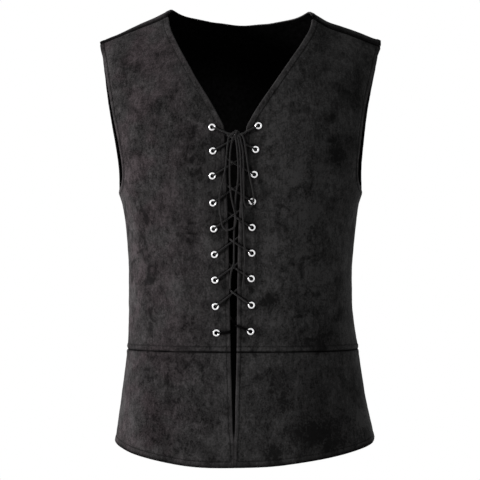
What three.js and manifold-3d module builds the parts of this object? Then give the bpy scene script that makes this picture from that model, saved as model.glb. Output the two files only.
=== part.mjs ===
// A lace-up suede vest in the hollow shape that it has when it is worn: two fronts that are laced
// together down the middle, one back whose shoulders come forward over the top, and a short skirt
// that is sewn on at the waist, in two fronts and a back.
// Millimetres. +X is the wearer's left, +Y the back, +Z up. The origin is midway between the
// shoulders, level with the middle of each shoulder strap's inner face.

import * as THREE from 'three';
import { mergeVertices } from 'three/addons/utils/BufferGeometryUtils.js';
import Module from 'manifold-3d';

const wasm = await Module();
wasm.setup();

// Driving dimensions of the cloth.
const WALL = 2;
const SEAM_GAP = 0.3;
const WAIST = -474;
const UNDERARM = -243;
const NECK_CORNER = -155;
// The line along the top of each shoulder. "out" is measured from a point beside the middle, so that
// the line is rounded there and no crease runs down the front or the back.
const SHOULDER_ROUNDING = 50;
const SHOULDER_LINE = [
  { out: 50, right: 57, left: 52 },
  { out: 118, right: 24.9, left: 21.4 },
  { out: 139, right: 13.3, left: 8.7 },
  { out: 161, right: 3, left: 1 },
  { out: 184, right: -7.8, left: -7.6 },
  { out: 214, right: -20.5, left: -19.3 },
];
// The share of the height from shoulder to waist in which the cloth rolls over the shoulder.
const ROLL = 0.34;
// How many degrees in front of the top of the shoulder its seam lies, at the neck and at the tip.
const SHOULDER_SEAM = {
  right: { neck: 17.5, tip: 12 },
  left: { neck: 22, tip: 22 },
};
// The hem's height. It is a little higher on the wearer's left front, round the angle "liftAround".
const HEM = {
  side: -607.5,
  frontDrop: 30,
  backDrop: 18,
  tilt: 2.4,
  lift: 3.2,
  liftAround: 37,
  liftSpread: 17,
};

// Level sections of the body of the vest. "down" is the share of the way from the shoulder line
// to the waist seam. Depths are measured forward and back of the side seam. "square" is the power
// of the rounded section, where 2 is an ellipse.
const BODICE_SECTIONS = [
  { down: 0.0, halfWidth: 214.5, front: 98, back: 100, square: 2.5 },
  { down: 0.07, halfWidth: 210.5, front: 101, back: 105, square: 2.5 },
  { down: 0.18, halfWidth: 203, front: 109, back: 113, square: 2.45 },
  { down: 0.3, halfWidth: 194, front: 118, back: 117, square: 2.4 },
  { down: 0.424, halfWidth: 184.5, front: 124, back: 116, square: 2.4 },
  { down: 0.508, halfWidth: 179, front: 125, back: 113, square: 2.35 },
  { down: 0.545, halfWidth: 174.3, front: 124, back: 111, square: 2.3 },
  { down: 0.6, halfWidth: 170.4, front: 123, back: 108, square: 2.3 },
  { down: 0.68, halfWidth: 166.8, front: 121, back: 104, square: 2.3 },
  { down: 0.76, halfWidth: 165, front: 119, back: 101, square: 2.3 },
  { down: 0.86, halfWidth: 165, front: 117, back: 99, square: 2.3 },
  { down: 0.94, halfWidth: 167.3, front: 116, back: 100, square: 2.3 },
  { down: 1.0, halfWidth: 170.4, front: 116, back: 102, square: 2.3 },
];
const SKIRT_SECTIONS = [
  { height: -640, halfWidth: 197, front: 123, back: 124, square: 2.3 },
  { height: -607, halfWidth: 191, front: 121, back: 121, square: 2.3 },
  { height: -562, halfWidth: 183.2, front: 119, back: 115, square: 2.3 },
  { height: -527, halfWidth: 178, front: 118, back: 110, square: 2.3 },
  { height: -491, halfWidth: 172.6, front: 116.5, back: 104.5, square: 2.3 },
  { height: -474, halfWidth: 170.4, front: 116, back: 102, square: 2.3 },
];
// How far the hanging cloth leans to the wearer's left, by height.
const LEAN = [
  { height: -640, lean: 6.7 },
  { height: -607, lean: 6.7 },
  { height: -565, lean: 5.4 },
  { height: -527, lean: 4.4 },
  { height: -474, lean: 3.7 },
  { height: -438, lean: 1.5 },
  { height: -402, lean: 0 },
  { height: -243, lean: 0 },
  { height: -189, lean: -1 },
  { height: -118, lean: -3 },
  { height: -47, lean: -0.7 },
  { height: 30, lean: 0.5 },
];
// The laced opening and the V above it: its middle, and half its width, by height.
const OPENING = [
  { height: -640, middle: -8.9, half: 0.15 },
  { height: -618, middle: -8.9, half: 0.2 },
  { height: -604, middle: -9, half: 0.9 },
  { height: -585, middle: -9.4, half: 2.1 },
  { height: -542, middle: -9.7, half: 3 },
  { height: -474, middle: -9.7, half: 4.9 },
  { height: -447, middle: -9.8, half: 5.2 },
  { height: -313, middle: -10.2, half: 7.4 },
  { height: -200, middle: -8.8, half: 13.2 },
  { height: -155, middle: -7.6, half: 16.2 },
  { height: -140, middle: -7.3, half: 23 },
  { height: -128, middle: -7, half: 29.6 },
  { height: -112, middle: -6.4, half: 39.5 },
  { height: -86, middle: -5.4, half: 56.3 },
  { height: -57, middle: -3.6, half: 74 },
  { height: -28, middle: -1.6, half: 91.2 },
  { height: -2, middle: -0.3, half: 103.4 },
  { height: 22, middle: 0, half: 107.6 },
];
// The armhole's edge: how far out it lies, as a share of the section's half width.
const ARMHOLE = [
  { height: -243, front: 1, back: 1 },
  { height: -240, front: 0.988, back: 0.9985 },
  { height: -232, front: 0.958, back: 0.9945 },
  { height: -218, front: 0.938, back: 0.987 },
  { height: -195, front: 0.93, back: 0.979 },
  { height: -160, front: 0.928, back: 0.973 },
  { height: -120, front: 0.93, back: 0.969 },
  { height: -85, front: 0.94, back: 0.968 },
  { height: -50, front: 0.952, back: 0.967 },
  { height: -32, front: 0.966, back: 0.966 },
  { height: -18, front: 0.966, back: 0.966 },
];
// The back of the neck, from its middle to the shoulder seam. "across" is a share of the way out to
// the seam, and "over" is how many degrees behind the top of the shoulder the edge lies. The first
// row is on the other side of the middle, which keeps the edge level there.
const BACK_NECK = [
  { share: -0.23, across: -0.343, over: 37.3 },
  { share: 0, across: 0, over: 41.2 },
  { share: 0.23, across: 0.343, over: 37.3 },
  { share: 0.38, across: 0.565, over: 31.6 },
  { share: 0.55, across: 0.787, over: 22.8 },
  { share: 0.68, across: 0.9, over: 13 },
  { share: 0.82, across: 0.965, over: -1 },
  { share: 1, across: 1, over: -18 },
];
// The largest soft folds. "around" is in degrees from the middle of the front, and positive on
// the wearer's left. "rise" is how far the cloth stands out, or in where it is negative.
const FOLDS = [
  { around: -38, spread: 6, top: -185, bottom: -470, rise: 2.6 },
  { around: -28, spread: 5, top: -170, bottom: -400, rise: -2.2 },
  { around: -66, spread: 6, top: -200, bottom: -330, rise: 3.2 },
  { around: -54, spread: 5, top: -150, bottom: -300, rise: -2.4 },
  { around: -76, spread: 7, top: -360, bottom: -560, rise: 1.8 },
  { around: -63, spread: 7, top: -490, bottom: -720, rise: 4 },
  { around: -46, spread: 6, top: -480, bottom: -720, rise: -3.6 },
  { around: -28, spread: 7, top: -500, bottom: -720, rise: 2.4 },
  { around: 64, spread: 7, top: -200, bottom: -460, rise: 2.6 },
  { around: 49, spread: 6, top: -130, bottom: -330, rise: -3.2 },
  { around: 31, spread: 8, top: -230, bottom: -460, rise: 2 },
  { around: 72, spread: 8, top: -500, bottom: -720, rise: 4.6 },
  { around: 53, spread: 7, top: -480, bottom: -720, rise: -4 },
  { around: 33, spread: 7, top: -500, bottom: -720, rise: 2.8 },
  { around: 112, spread: 8, top: -230, bottom: -520, rise: 2.6 },
  { around: 128, spread: 8, top: -90, bottom: -420, rise: -3 },
  { around: 146, spread: 7, top: -250, bottom: -600, rise: 3.4 },
  { around: 164, spread: 8, top: -120, bottom: -470, rise: -2.4 },
  { around: 122, spread: 9, top: -500, bottom: -720, rise: 4 },
  { around: 172, spread: 8, top: -480, bottom: -720, rise: 3.2 },
  { around: -110, spread: 8, top: -220, bottom: -500, rise: 2.8 },
  { around: -127, spread: 7, top: -100, bottom: -400, rise: -2.8 },
  { around: -150, spread: 8, top: -230, bottom: -610, rise: 3 },
  { around: -168, spread: 7, top: -300, bottom: -520, rise: -2.2 },
  { around: -124, spread: 8, top: -500, bottom: -720, rise: 3.8 },
];

// Reads a column of a table at a place between its rows, on a smooth curve that never overshoots.
function read(table, key, at, column) {
  const last = table.length - 1;
  let i = 0;
  while (i < last - 1 && at > table[i + 1][key]) i += 1;
  const slope = (k) => {
    if (k < 0 || k >= last) return null;
    return (table[k + 1][column] - table[k][column]) / (table[k + 1][key] - table[k][key]);
  };
  const tangent = (k) => {
    const before = slope(k - 1);
    const after = slope(k);
    if (before === null || after === null) return before ?? after;
    return before * after <= 0 ? 0 : (2 * before * after) / (before + after);
  };
  const width = table[i + 1][key] - table[i][key];
  const s = THREE.MathUtils.clamp((at - table[i][key]) / width, 0, 1);
  const square = s * s;
  const cube = square * s;
  return (
    (2 * cube - 3 * square + 1) * table[i][column] +
    (cube - 2 * square + s) * width * tangent(i) +
    (3 * square - 2 * cube) * table[i + 1][column] +
    (cube - square) * width * tangent(i + 1)
  );
}

const mix = THREE.MathUtils.lerp;
const radians = THREE.MathUtils.degToRad;
const degrees = THREE.MathUtils.radToDeg;

// The top of the shoulder above a point that is "across" from the middle.
const NECK_HALF_WIDTH = 107;
function shoulderTop(across) {
  const out = Math.hypot(across, SHOULDER_ROUNDING);
  const leftShare = THREE.MathUtils.smoothstep(across, -NECK_HALF_WIDTH, NECK_HALF_WIDTH);
  return mix(read(SHOULDER_LINE, 'out', out, 'right'), read(SHOULDER_LINE, 'out', out, 'left'), leftShare);
}

// The roll is measured along the cloth, from 0 at the top of the shoulder to WAIST_ROLL at the
// waist. It is negative where the back comes forward over the shoulder.
const WAIST_ROLL = 1 + ROLL * (Math.PI / 2 - 1);
const CLOTH_LENGTH = SHOULDER_LINE[1].left - WAIST;

function downOf(roll) {
  const r = Math.abs(roll);
  return r < (ROLL * Math.PI) / 2 ? ROLL * (1 - Math.cos(r / ROLL)) : r - ROLL * (Math.PI / 2 - 1);
}

function rollOf(down) {
  return down < ROLL ? ROLL * Math.acos(1 - down / ROLL) : down + ROLL * (Math.PI / 2 - 1);
}

// A rounded section, by the angle from the middle of the front.
function section(angle, halfWidth, depth, square) {
  const sine = Math.sin(angle) / halfWidth;
  const cosine = Math.cos(angle) / depth;
  const size = (Math.abs(sine) ** square + Math.abs(cosine) ** square) ** (-1 / square);
  return { across: Math.sin(angle) * size, forward: Math.cos(angle) * size };
}

// The smooth body above the waist, before its folds.
function bodiceForm(angle, roll) {
  const down = downOf(roll);
  const halfWidth = read(BODICE_SECTIONS, 'down', down, 'halfWidth');
  const square = read(BODICE_SECTIONS, 'down', down, 'square');
  const front = read(BODICE_SECTIONS, 'down', down, 'front');
  const back = read(BODICE_SECTIONS, 'down', down, 'back');
  const { across, forward } = section(angle, halfWidth, Math.cos(angle) < 0 ? back : front, square);
  const over = Math.min(Math.abs(roll) / ROLL, Math.PI / 2);
  const reach = roll < 0 ? (-forward * front) / back : forward;
  const top = shoulderTop(across);
  const height = top - (top - WAIST) * down;
  return new THREE.Vector3(across + read(LEAN, 'height', height, 'lean'), -reach * Math.sin(over), height);
}

// The smooth skirt, before its folds.
function skirtForm(angle, height) {
  const halfWidth = read(SKIRT_SECTIONS, 'height', height, 'halfWidth');
  const depth = read(SKIRT_SECTIONS, 'height', height, Math.cos(angle) < 0 ? 'back' : 'front');
  const square = read(SKIRT_SECTIONS, 'height', height, 'square');
  const { across, forward } = section(angle, halfWidth, depth, square);
  return new THREE.Vector3(across + read(LEAN, 'height', height, 'lean'), -forward, height);
}

// How far the folds stand out at an angle and height.
function foldRise(angle, height) {
  const around = degrees(angle);
  let rise = 0;
  for (const fold of FOLDS) {
    const along = (height - fold.bottom) / (fold.top - fold.bottom);
    if (along <= 0 || along >= 1) continue;
    const turn = THREE.MathUtils.euclideanModulo(around - fold.around + 180, 360) - 180;
    rise += fold.rise * Math.exp(-((turn / fold.spread) ** 2)) * Math.sin(Math.PI * along) ** 1.5;
  }
  return rise;
}

// The outward direction of a surface at a place, from small steps along it towards the middle.
const SMALL_TURN = 1e-3;
function outward(surface, angle, level) {
  const smallStep = surface.isSkirt ? 0.3 : 1e-3;
  const towardMiddle = Math.sign(Math.cos(angle) * Math.sin(angle)) || 1;
  const point = surface(angle, level);
  const across = surface(angle - SMALL_TURN * towardMiddle, level).sub(point);
  const upDown = surface(angle, level + smallStep).sub(surface(angle, level - smallStep));
  const normal = across.cross(upDown).normalize();
  const middle = new THREE.Vector3(0, 0, point.z - 90);
  return normal.dot(point.sub(middle)) < 0 ? normal.negate() : normal;
}

// A form with its folds, and a place on it moved out along its outward direction.
function withFolds(form) {
  const surface = (angle, level) => {
    const point = form(angle, level);
    return point.addScaledVector(outward(form, angle, level), foldRise(angle, point.z));
  };
  surface.isSkirt = form.isSkirt;
  return surface;
}
skirtForm.isSkirt = true;
const bodice = withFolds(bodiceForm);
const skirt = withFolds(skirtForm);

function lifted(surface, angle, level, lift) {
  return surface(angle, level).addScaledVector(outward(surface, angle, level), lift);
}

// The place on the front of the bodice that lies at a point across and a height.
function frontPlace(x, height) {
  const across = x - read(LEAN, 'height', height, 'lean');
  const top = shoulderTop(across);
  const down = (top - height) / (top - WAIST);
  const halfWidth = read(BODICE_SECTIONS, 'down', down, 'halfWidth');
  const square = read(BODICE_SECTIONS, 'down', down, 'square');
  const depth = read(BODICE_SECTIONS, 'down', down, 'front');
  return { angle: sectionAngle(across, halfWidth, depth, square), level: rollOf(down) };
}

// The angle at which a point that is "across" from the middle lies on a section.
function sectionAngle(across, halfWidth, depth, square) {
  const share = Math.min(Math.abs(across) / halfWidth, 1);
  return Math.atan2(across, depth * (1 - share ** square) ** (1 / square));
}

// Angles on the back run on past its middle, so that they never jump.
function backAngle(angle) {
  return -Math.PI - angle;
}

// How far across an edge lies at a level of the bodice, where edgeX gives it for each height.
function edgeAcross(roll, edgeX) {
  const down = downOf(roll);
  const halfWidth = read(BODICE_SECTIONS, 'down', down, 'halfWidth');
  let across = 0;
  for (let i = 0; i < 12; i += 1) {
    const top = shoulderTop(across);
    across = edgeX(top - (top - WAIST) * down, halfWidth);
  }
  return across;
}

// The place on the front or the back at a level, at a point across.
function placeAcross(across, roll, face) {
  const down = downOf(roll);
  const halfWidth = read(BODICE_SECTIONS, 'down', down, 'halfWidth');
  const square = read(BODICE_SECTIONS, 'down', down, 'square');
  const angle = sectionAngle(across, halfWidth, read(BODICE_SECTIONS, 'down', down, face), square);
  return { angle: face === 'back' ? backAngle(angle) : angle, level: roll };
}

// Levels from one to another that are about evenly far apart along the cloth's edge, and close
// enough together where the cloth rolls over the shoulder.
const ROLL_SPACING = 500;
function evenLevels(from, to, count, placeAt) {
  const fine = 90;
  const pointAt = (i) => {
    const place = placeAt(mix(from, to, i / fine));
    return bodiceForm(place.angle, place.level);
  };
  const lengths = [0];
  const rollStep = (Math.abs(to - from) / fine) * ROLL_SPACING;
  for (let i = 1; i <= fine; i += 1) {
    lengths.push(lengths[i - 1] + pointAt(i).distanceTo(pointAt(i - 1)) + rollStep);
  }
  return Array.from({ length: count + 1 }, (_, row) => {
    const wanted = (lengths[fine] * row) / count;
    let i = 0;
    while (i < fine - 1 && lengths[i + 1] < wanted) i += 1;
    const part = (wanted - lengths[i]) / (lengths[i + 1] - lengths[i]);
    return mix(from, to, (i + THREE.MathUtils.clamp(part, 0, 1)) / fine);
  });
}

// The places between two edges and two ends of a panel, row by row from the bottom. The shape of
// the top edge fades quickly down the panel.
function panelPlaces(bottom, top, first, last) {
  const rows = first.length - 1;
  const columns = bottom.length - 1;
  const blend = (key, r, c) => {
    const u = c / columns;
    const pull = (r / rows) ** 2;
    const offLow = bottom[c][key] - mix(bottom[0][key], bottom[columns][key], u);
    const offHigh = top[c][key] - mix(top[0][key], top[columns][key], u);
    return mix(first[r][key], last[r][key], u) + mix(offLow, offHigh, pull);
  };
  const placeAt = (r, c) => ({ angle: blend('angle', r, c), level: blend('level', r, c) });
  return first.map((_, r) => bottom.map((__, c) => placeAt(r, c)));
}

// How far each panel's edge keeps off the middle of the seam that it shares with the next panel.
const CLEAR_OF_SEAM = SEAM_GAP / 2;

// A closed wall of cloth, with its rim, whose outer face passes through a grid of places. "sideShift"
// moves a point of the grid off the side seam.
function clothWall(surface, places, sideShift) {
  const pointAt = ({ angle, level }, lift, r, c) => lifted(surface, angle, level, lift).add(sideShift(r, c));
  const grid = (lift) => places.map((row, r) => row.map((place, c) => pointAt(place, lift, r, c)));
  const rows = places.length;
  const columns = places[0].length;
  const points = [...grid(0).flat(), ...grid(-WALL).flat()];
  const out = (r, c) => r * columns + c;
  const inn = (r, c) => rows * columns + r * columns + c;
  const faces = [];
  const quad = (a, b, c, d) => faces.push(a, b, c, a, c, d);
  for (let r = 0; r < rows - 1; r += 1) {
    for (let c = 0; c < columns - 1; c += 1) {
      quad(out(r, c), out(r, c + 1), out(r + 1, c + 1), out(r + 1, c));
      quad(inn(r, c), inn(r + 1, c), inn(r + 1, c + 1), inn(r, c + 1));
    }
    quad(out(r, 0), out(r + 1, 0), inn(r + 1, 0), inn(r, 0));
    quad(out(r + 1, columns - 1), out(r, columns - 1), inn(r, columns - 1), inn(r + 1, columns - 1));
  }
  for (let c = 0; c < columns - 1; c += 1) {
    quad(out(0, c + 1), out(0, c), inn(0, c), inn(0, c + 1));
    quad(out(rows - 1, c), out(rows - 1, c + 1), inn(rows - 1, c + 1), inn(rows - 1, c));
  }
  let volume = 0;
  for (let i = 0; i < faces.length; i += 3) {
    volume += points[faces[i]].dot(points[faces[i + 1]].clone().cross(points[faces[i + 2]]));
  }
  if (volume < 0) faces.reverse();
  return new THREE.BufferGeometry().setFromPoints(points).setIndex(faces);
}

// A closed mesh as a solid that can be cut, and a solid as a mesh again.
function solid(geometry) {
  const bare = geometry.clone();
  bare.deleteAttribute('normal');
  bare.deleteAttribute('uv');
  const merged = mergeVertices(bare, 1e-4);
  const vertProperties = Float32Array.from(merged.getAttribute('position').array);
  const triVerts = Uint32Array.from(merged.getIndex().array);
  return new wasm.Manifold(new wasm.Mesh({ numProp: 3, vertProperties, triVerts }));
}

function meshOf(manifold) {
  const { vertProperties, triVerts } = manifold.getMesh();
  const geometry = new THREE.BufferGeometry();
  geometry.setAttribute('position', new THREE.BufferAttribute(vertProperties, 3));
  geometry.setIndex(new THREE.BufferAttribute(triVerts, 1));
  return geometry;
}

const SIDES = { right: -1, left: 1 };
const QUARTER_TURN = Math.PI / 2;
const atWaist = WAIST_ROLL - CLEAR_OF_SEAM / CLOTH_LENGTH;
const openingX = (side) => (height) =>
  read(OPENING, 'height', height, 'middle') +
  side * read(OPENING, 'height', height, 'half') -
  read(LEAN, 'height', height, 'lean');
const armholeX = (side, face) => (height, halfWidth) => side * halfWidth * read(ARMHOLE, 'height', height, face);

// The level of the shoulder seam on one side, at a share of the way from neck to tip.
function shoulderSeamLevel(sideName, face, share) {
  const { neck, tip } = SHOULDER_SEAM[sideName];
  const level = ROLL * radians(mix(neck, tip, share));
  const clear = CLEAR_OF_SEAM / CLOTH_LENGTH;
  return face === 'back' ? clear - level : clear + level;
}

// Places along one shoulder seam, from the neck to the tip, on the front's or the back's edge of it.
function shoulderSeam(sideName, face, columns) {
  const side = SIDES[sideName];
  const neck = edgeAcross(shoulderSeamLevel(sideName, face, 0), openingX(side));
  const tip = edgeAcross(shoulderSeamLevel(sideName, face, 1), armholeX(side, face));
  return Array.from({ length: columns + 1 }, (_, c) => {
    const share = c / columns;
    return placeAcross(mix(neck, tip, share), shoulderSeamLevel(sideName, face, share), face);
  });
}

// Rows of places up the side seam and round the armhole, to the shoulder seam.
const SIDE_ROWS = 7;
const ARMHOLE_ROWS = 12;
const ROWS = SIDE_ROWS + ARMHOLE_ROWS;
function outerEdge(sideName, face) {
  const side = SIDES[sideName];
  const top = shoulderSeamLevel(sideName, face, 1);
  const underarmTop = shoulderTop(read(BODICE_SECTIONS, 'down', 0.5, 'halfWidth'));
  const underarm = rollOf((underarmTop - UNDERARM) / (underarmTop - WAIST));
  const sideAngle = face === 'back' ? backAngle(side * QUARTER_TURN) : side * QUARTER_TURN;
  const sideSeam = (roll) => ({ angle: sideAngle, level: roll });
  const armhole = (roll) => placeAcross(edgeAcross(roll, armholeX(side, face)), roll, face);
  return [
    ...evenLevels(atWaist, underarm, SIDE_ROWS, sideSeam).map(sideSeam),
    ...evenLevels(underarm, top, ARMHOLE_ROWS, armhole).slice(1).map(armhole),
  ];
}

// Rows of places up the laced opening and the V of the neck, to the shoulder seam.
const LACED_ROWS = 11;
function innerEdge(sideName) {
  const edge = openingX(SIDES[sideName]);
  const corner = frontPlace(edge(NECK_CORNER), NECK_CORNER).level;
  const top = shoulderSeamLevel(sideName, 'front', 0);
  const place = (roll) => placeAcross(edgeAcross(roll, edge), roll, 'front');
  return [
    ...evenLevels(atWaist, corner, LACED_ROWS, place).map(place),
    ...evenLevels(corner, top, ROWS - LACED_ROWS, place).slice(1).map(place),
  ];
}

function between(from, to, count) {
  return Array.from({ length: count + 1 }, (_, i) => ({
    angle: mix(from.angle, to.angle, i / count),
    level: mix(from.level, to.level, i / count),
  }));
}

// One front of the bodice, from the laced opening to the side, and from the waist to the shoulder.
const FRONT_COLUMNS = 11;
function frontBodice(sideName) {
  const inner = innerEdge(sideName);
  const outer = outerEdge(sideName, 'front');
  const bottom = between(inner[0], outer[0], FRONT_COLUMNS);
  const top = shoulderSeam(sideName, 'front', FRONT_COLUMNS);
  const sideShift = (r, c) => new THREE.Vector3(0, c === FRONT_COLUMNS && r <= SIDE_ROWS ? -CLEAR_OF_SEAM : 0, 0);
  return clothWall(bodice, panelPlaces(bottom, top, inner, outer), sideShift);
}

// The back of the bodice, from shoulder seam to shoulder seam, before its neck is cut out.
const NECK_COLUMNS = 14;
const SHOULDER_COLUMNS = 7;
const BACK_COLUMNS = NECK_COLUMNS + 2 * SHOULDER_COLUMNS;
function backBodice() {
  const right = outerEdge('right', 'back');
  const left = outerEdge('left', 'back');
  const rightSeam = shoulderSeam('right', 'back', SHOULDER_COLUMNS).reverse();
  const leftSeam = shoulderSeam('left', 'back', SHOULDER_COLUMNS);
  const overNeck = between(rightSeam[SHOULDER_COLUMNS], leftSeam[0], NECK_COLUMNS).slice(1, -1);
  const top = [...rightSeam, ...overNeck, ...leftSeam];
  const bottom = between(right[0], left[0], BACK_COLUMNS);
  const isSide = (c) => c === 0 || c === BACK_COLUMNS;
  const sideShift = (r, c) => new THREE.Vector3(0, isSide(c) && r <= SIDE_ROWS ? CLEAR_OF_SEAM : 0, 0);
  return clothWall(bodice, panelPlaces(bottom, top, right, left), sideShift);
}

// The opening of the neck, as an upright block with the neck's outline seen from above.
const NECK_STEPS = 12;
const NECK_CUT = { front: -90, bottom: -200, top: 120 };
function neckBlock() {
  const outline = [];
  for (const sideName of ['left', 'right']) {
    const neckPoint = edgeAcross(shoulderSeamLevel(sideName, 'back', 0), openingX(SIDES[sideName]));
    const sidePoints = Array.from({ length: NECK_STEPS + 1 }, (_, i) => {
      const share = i / NECK_STEPS;
      const level = ROLL * radians(read(BACK_NECK, 'share', share, 'over'));
      const place = placeAcross(neckPoint * read(BACK_NECK, 'share', share, 'across'), level, 'back');
      const point = bodice(place.angle, place.level);
      return new THREE.Vector2(point.x, point.y);
    });
    sidePoints.push(new THREE.Vector2(sidePoints[NECK_STEPS].x, NECK_CUT.front));
    outline.push(...(sideName === 'left' ? sidePoints.reverse() : sidePoints.slice(1)));
  }
  const depth = NECK_CUT.top - NECK_CUT.bottom;
  const shape = new THREE.Shape(outline);
  return new THREE.ExtrudeGeometry(shape, { depth, bevelEnabled: false }).translate(0, 0, NECK_CUT.bottom);
}

// The hem's height round the skirt.
function hemHeight(angle) {
  const drop = Math.cos(angle) < 0 ? HEM.backDrop : HEM.frontDrop;
  const share = THREE.MathUtils.smoothstep(Math.abs(Math.cos(angle)), 0, 1);
  const lift = HEM.lift * Math.exp(-(((degrees(angle) - HEM.liftAround) / HEM.liftSpread) ** 2));
  return HEM.side - drop * share + HEM.tilt * Math.sin(angle) + lift;
}

// A panel of the skirt, between two edges that are given as an angle for each height.
const SKIRT_ROWS = 6;
function skirtPanel(columns, firstAngle, lastAngle, sideShift) {
  const top = WAIST - CLEAR_OF_SEAM;
  const places = Array.from({ length: SKIRT_ROWS + 1 }, (_, r) =>
    Array.from({ length: columns + 1 }, (__, c) => {
      const share = c / columns;
      const hem = hemHeight(mix(firstAngle(HEM.side), lastAngle(HEM.side), share));
      const height = mix(hem, top, r / SKIRT_ROWS);
      return { angle: mix(firstAngle(height), lastAngle(height), share), level: height };
    }),
  );
  return clothWall(skirt, places, sideShift);
}

function frontSkirt(sideName) {
  const side = SIDES[sideName];
  const opening = (height) => {
    const halfWidth = read(SKIRT_SECTIONS, 'height', height, 'halfWidth');
    const depth = read(SKIRT_SECTIONS, 'height', height, 'front');
    const square = read(SKIRT_SECTIONS, 'height', height, 'square');
    return sectionAngle(openingX(side)(height), halfWidth, depth, square);
  };
  const sideShift = (r, c) => new THREE.Vector3(0, c === FRONT_COLUMNS ? -CLEAR_OF_SEAM : 0, 0);
  return skirtPanel(FRONT_COLUMNS, opening, () => side * QUARTER_TURN, sideShift);
}

function backSkirt() {
  const isSide = (c) => c === 0 || c === BACK_COLUMNS;
  const sideShift = (r, c) => new THREE.Vector3(0, isSide(c) ? CLEAR_OF_SEAM : 0, 0);
  return skirtPanel(BACK_COLUMNS, () => backAngle(-QUARTER_TURN), () => backAngle(QUARTER_TURN), sideShift);
}

// Eyelets: nine a side, each a turned metal ring whose barrel passes through a hole in the cloth.
// "right" and "left" are how far each one is from the edge of its front, on that side.
const EYELET_PLACES = [
  { height: -152.4, right: 16.5, left: 15.9 },
  { height: -186.3, right: 16.9, left: 15.9 },
  { height: -221.9, right: 18.9, left: 16.8 },
  { height: -260.3, right: 19.8, left: 17.1 },
  { height: -297.2, right: 20.1, left: 18.6 },
  { height: -333.8, right: 19.9, left: 19.3 },
  { height: -370.2, right: 20, left: 19.2 },
  { height: -408, right: 20.1, left: 19.8 },
  { height: -445.6, right: 19.4, left: 19 },
];
const EYELET = {
  rows: EYELET_PLACES.length,
  sideTilt: 1,
  boreRadius: 2.4,
  barrelRadius: 2.8,
  flangeRadius: 5.2,
  flangeRise: 1.1,
  seat: 0.5,
};
const EYELET_SEGMENTS = 12;
const HOLE_RADIUS = EYELET.barrelRadius + EYELET.seat + 0.1;

// Where an eyelet's axis meets the outer face of the front that it is set in.
function seatOn(cloth, point, normal) {
  const ray = new THREE.Raycaster(point.clone().addScaledVector(normal, 10), normal.clone().negate());
  return ray.intersectObject(new THREE.Mesh(cloth))[0].point;
}

function eyeletFrame(sideName, row) {
  const side = SIDES[sideName];
  const height = EYELET_PLACES[row].height + side * EYELET.sideTilt;
  const edge = read(OPENING, 'height', height, 'middle') + side * read(OPENING, 'height', height, 'half');
  const x = edge + side * EYELET_PLACES[row][sideName];
  const place = frontPlace(x, height);
  const normal = outward(bodice, place.angle, place.level);
  const point = seatOn(frontCloth[sideName], bodice(place.angle, place.level), normal);
  const turn = new THREE.Quaternion().setFromUnitVectors(new THREE.Vector3(0, 1, 0), normal);
  return { x, height, point, turn };
}

function eyeletRing({ point, turn }) {
  const { boreRadius, barrelRadius, flangeRadius, flangeRise, seat } = EYELET;
  const back = -WALL - seat;
  const profile = [
    new THREE.Vector2(boreRadius, back - flangeRise * 0.8),
    new THREE.Vector2(flangeRadius, back),
    new THREE.Vector2(barrelRadius, back),
    new THREE.Vector2(barrelRadius, seat),
    new THREE.Vector2(flangeRadius, seat),
    new THREE.Vector2((boreRadius + flangeRadius) / 2, seat + flangeRise),
    new THREE.Vector2(boreRadius, seat + flangeRise * 0.6),
  ];
  profile.push(profile[0].clone());
  return new THREE.LatheGeometry(profile, EYELET_SEGMENTS).applyQuaternion(turn).translate(...point);
}

function eyeletHole({ point, turn }) {
  return new THREE.CylinderGeometry(HOLE_RADIUS, HOLE_RADIUS, 6 * WALL, EYELET_SEGMENTS)
    .applyQuaternion(turn)
    .translate(...point);
}

const frontCloth = { right: frontBodice('right'), left: frontBodice('left') };
const eyeletFrames = {};
for (const sideName of ['right', 'left']) {
  eyeletFrames[sideName] = Array.from({ length: EYELET.rows }, (_, row) => eyeletFrame(sideName, row));
}

// The lace, a soft round cord. A tube is round its points with flat ends.
const LACE_RADIUS = 1.3;
class LaceRoute extends THREE.CatmullRomCurve3 {
  getPointAt(u, target) {
    return this.getPoint(u, target);
  }

  getTangentAt(u, target) {
    return this.getTangent(u, target);
  }
}

function laceTube(points, steps) {
  const circle = new THREE.Shape().absarc(0, 0, LACE_RADIUS, 0, 2 * Math.PI);
  const round = new THREE.Shape(circle.getPoints(4).slice(0, -1));
  const extrudePath = new LaceRoute(points, false, 'centripetal');
  return new THREE.ExtrudeGeometry(round, { steps, bevelEnabled: false, extrudePath });
}

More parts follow.
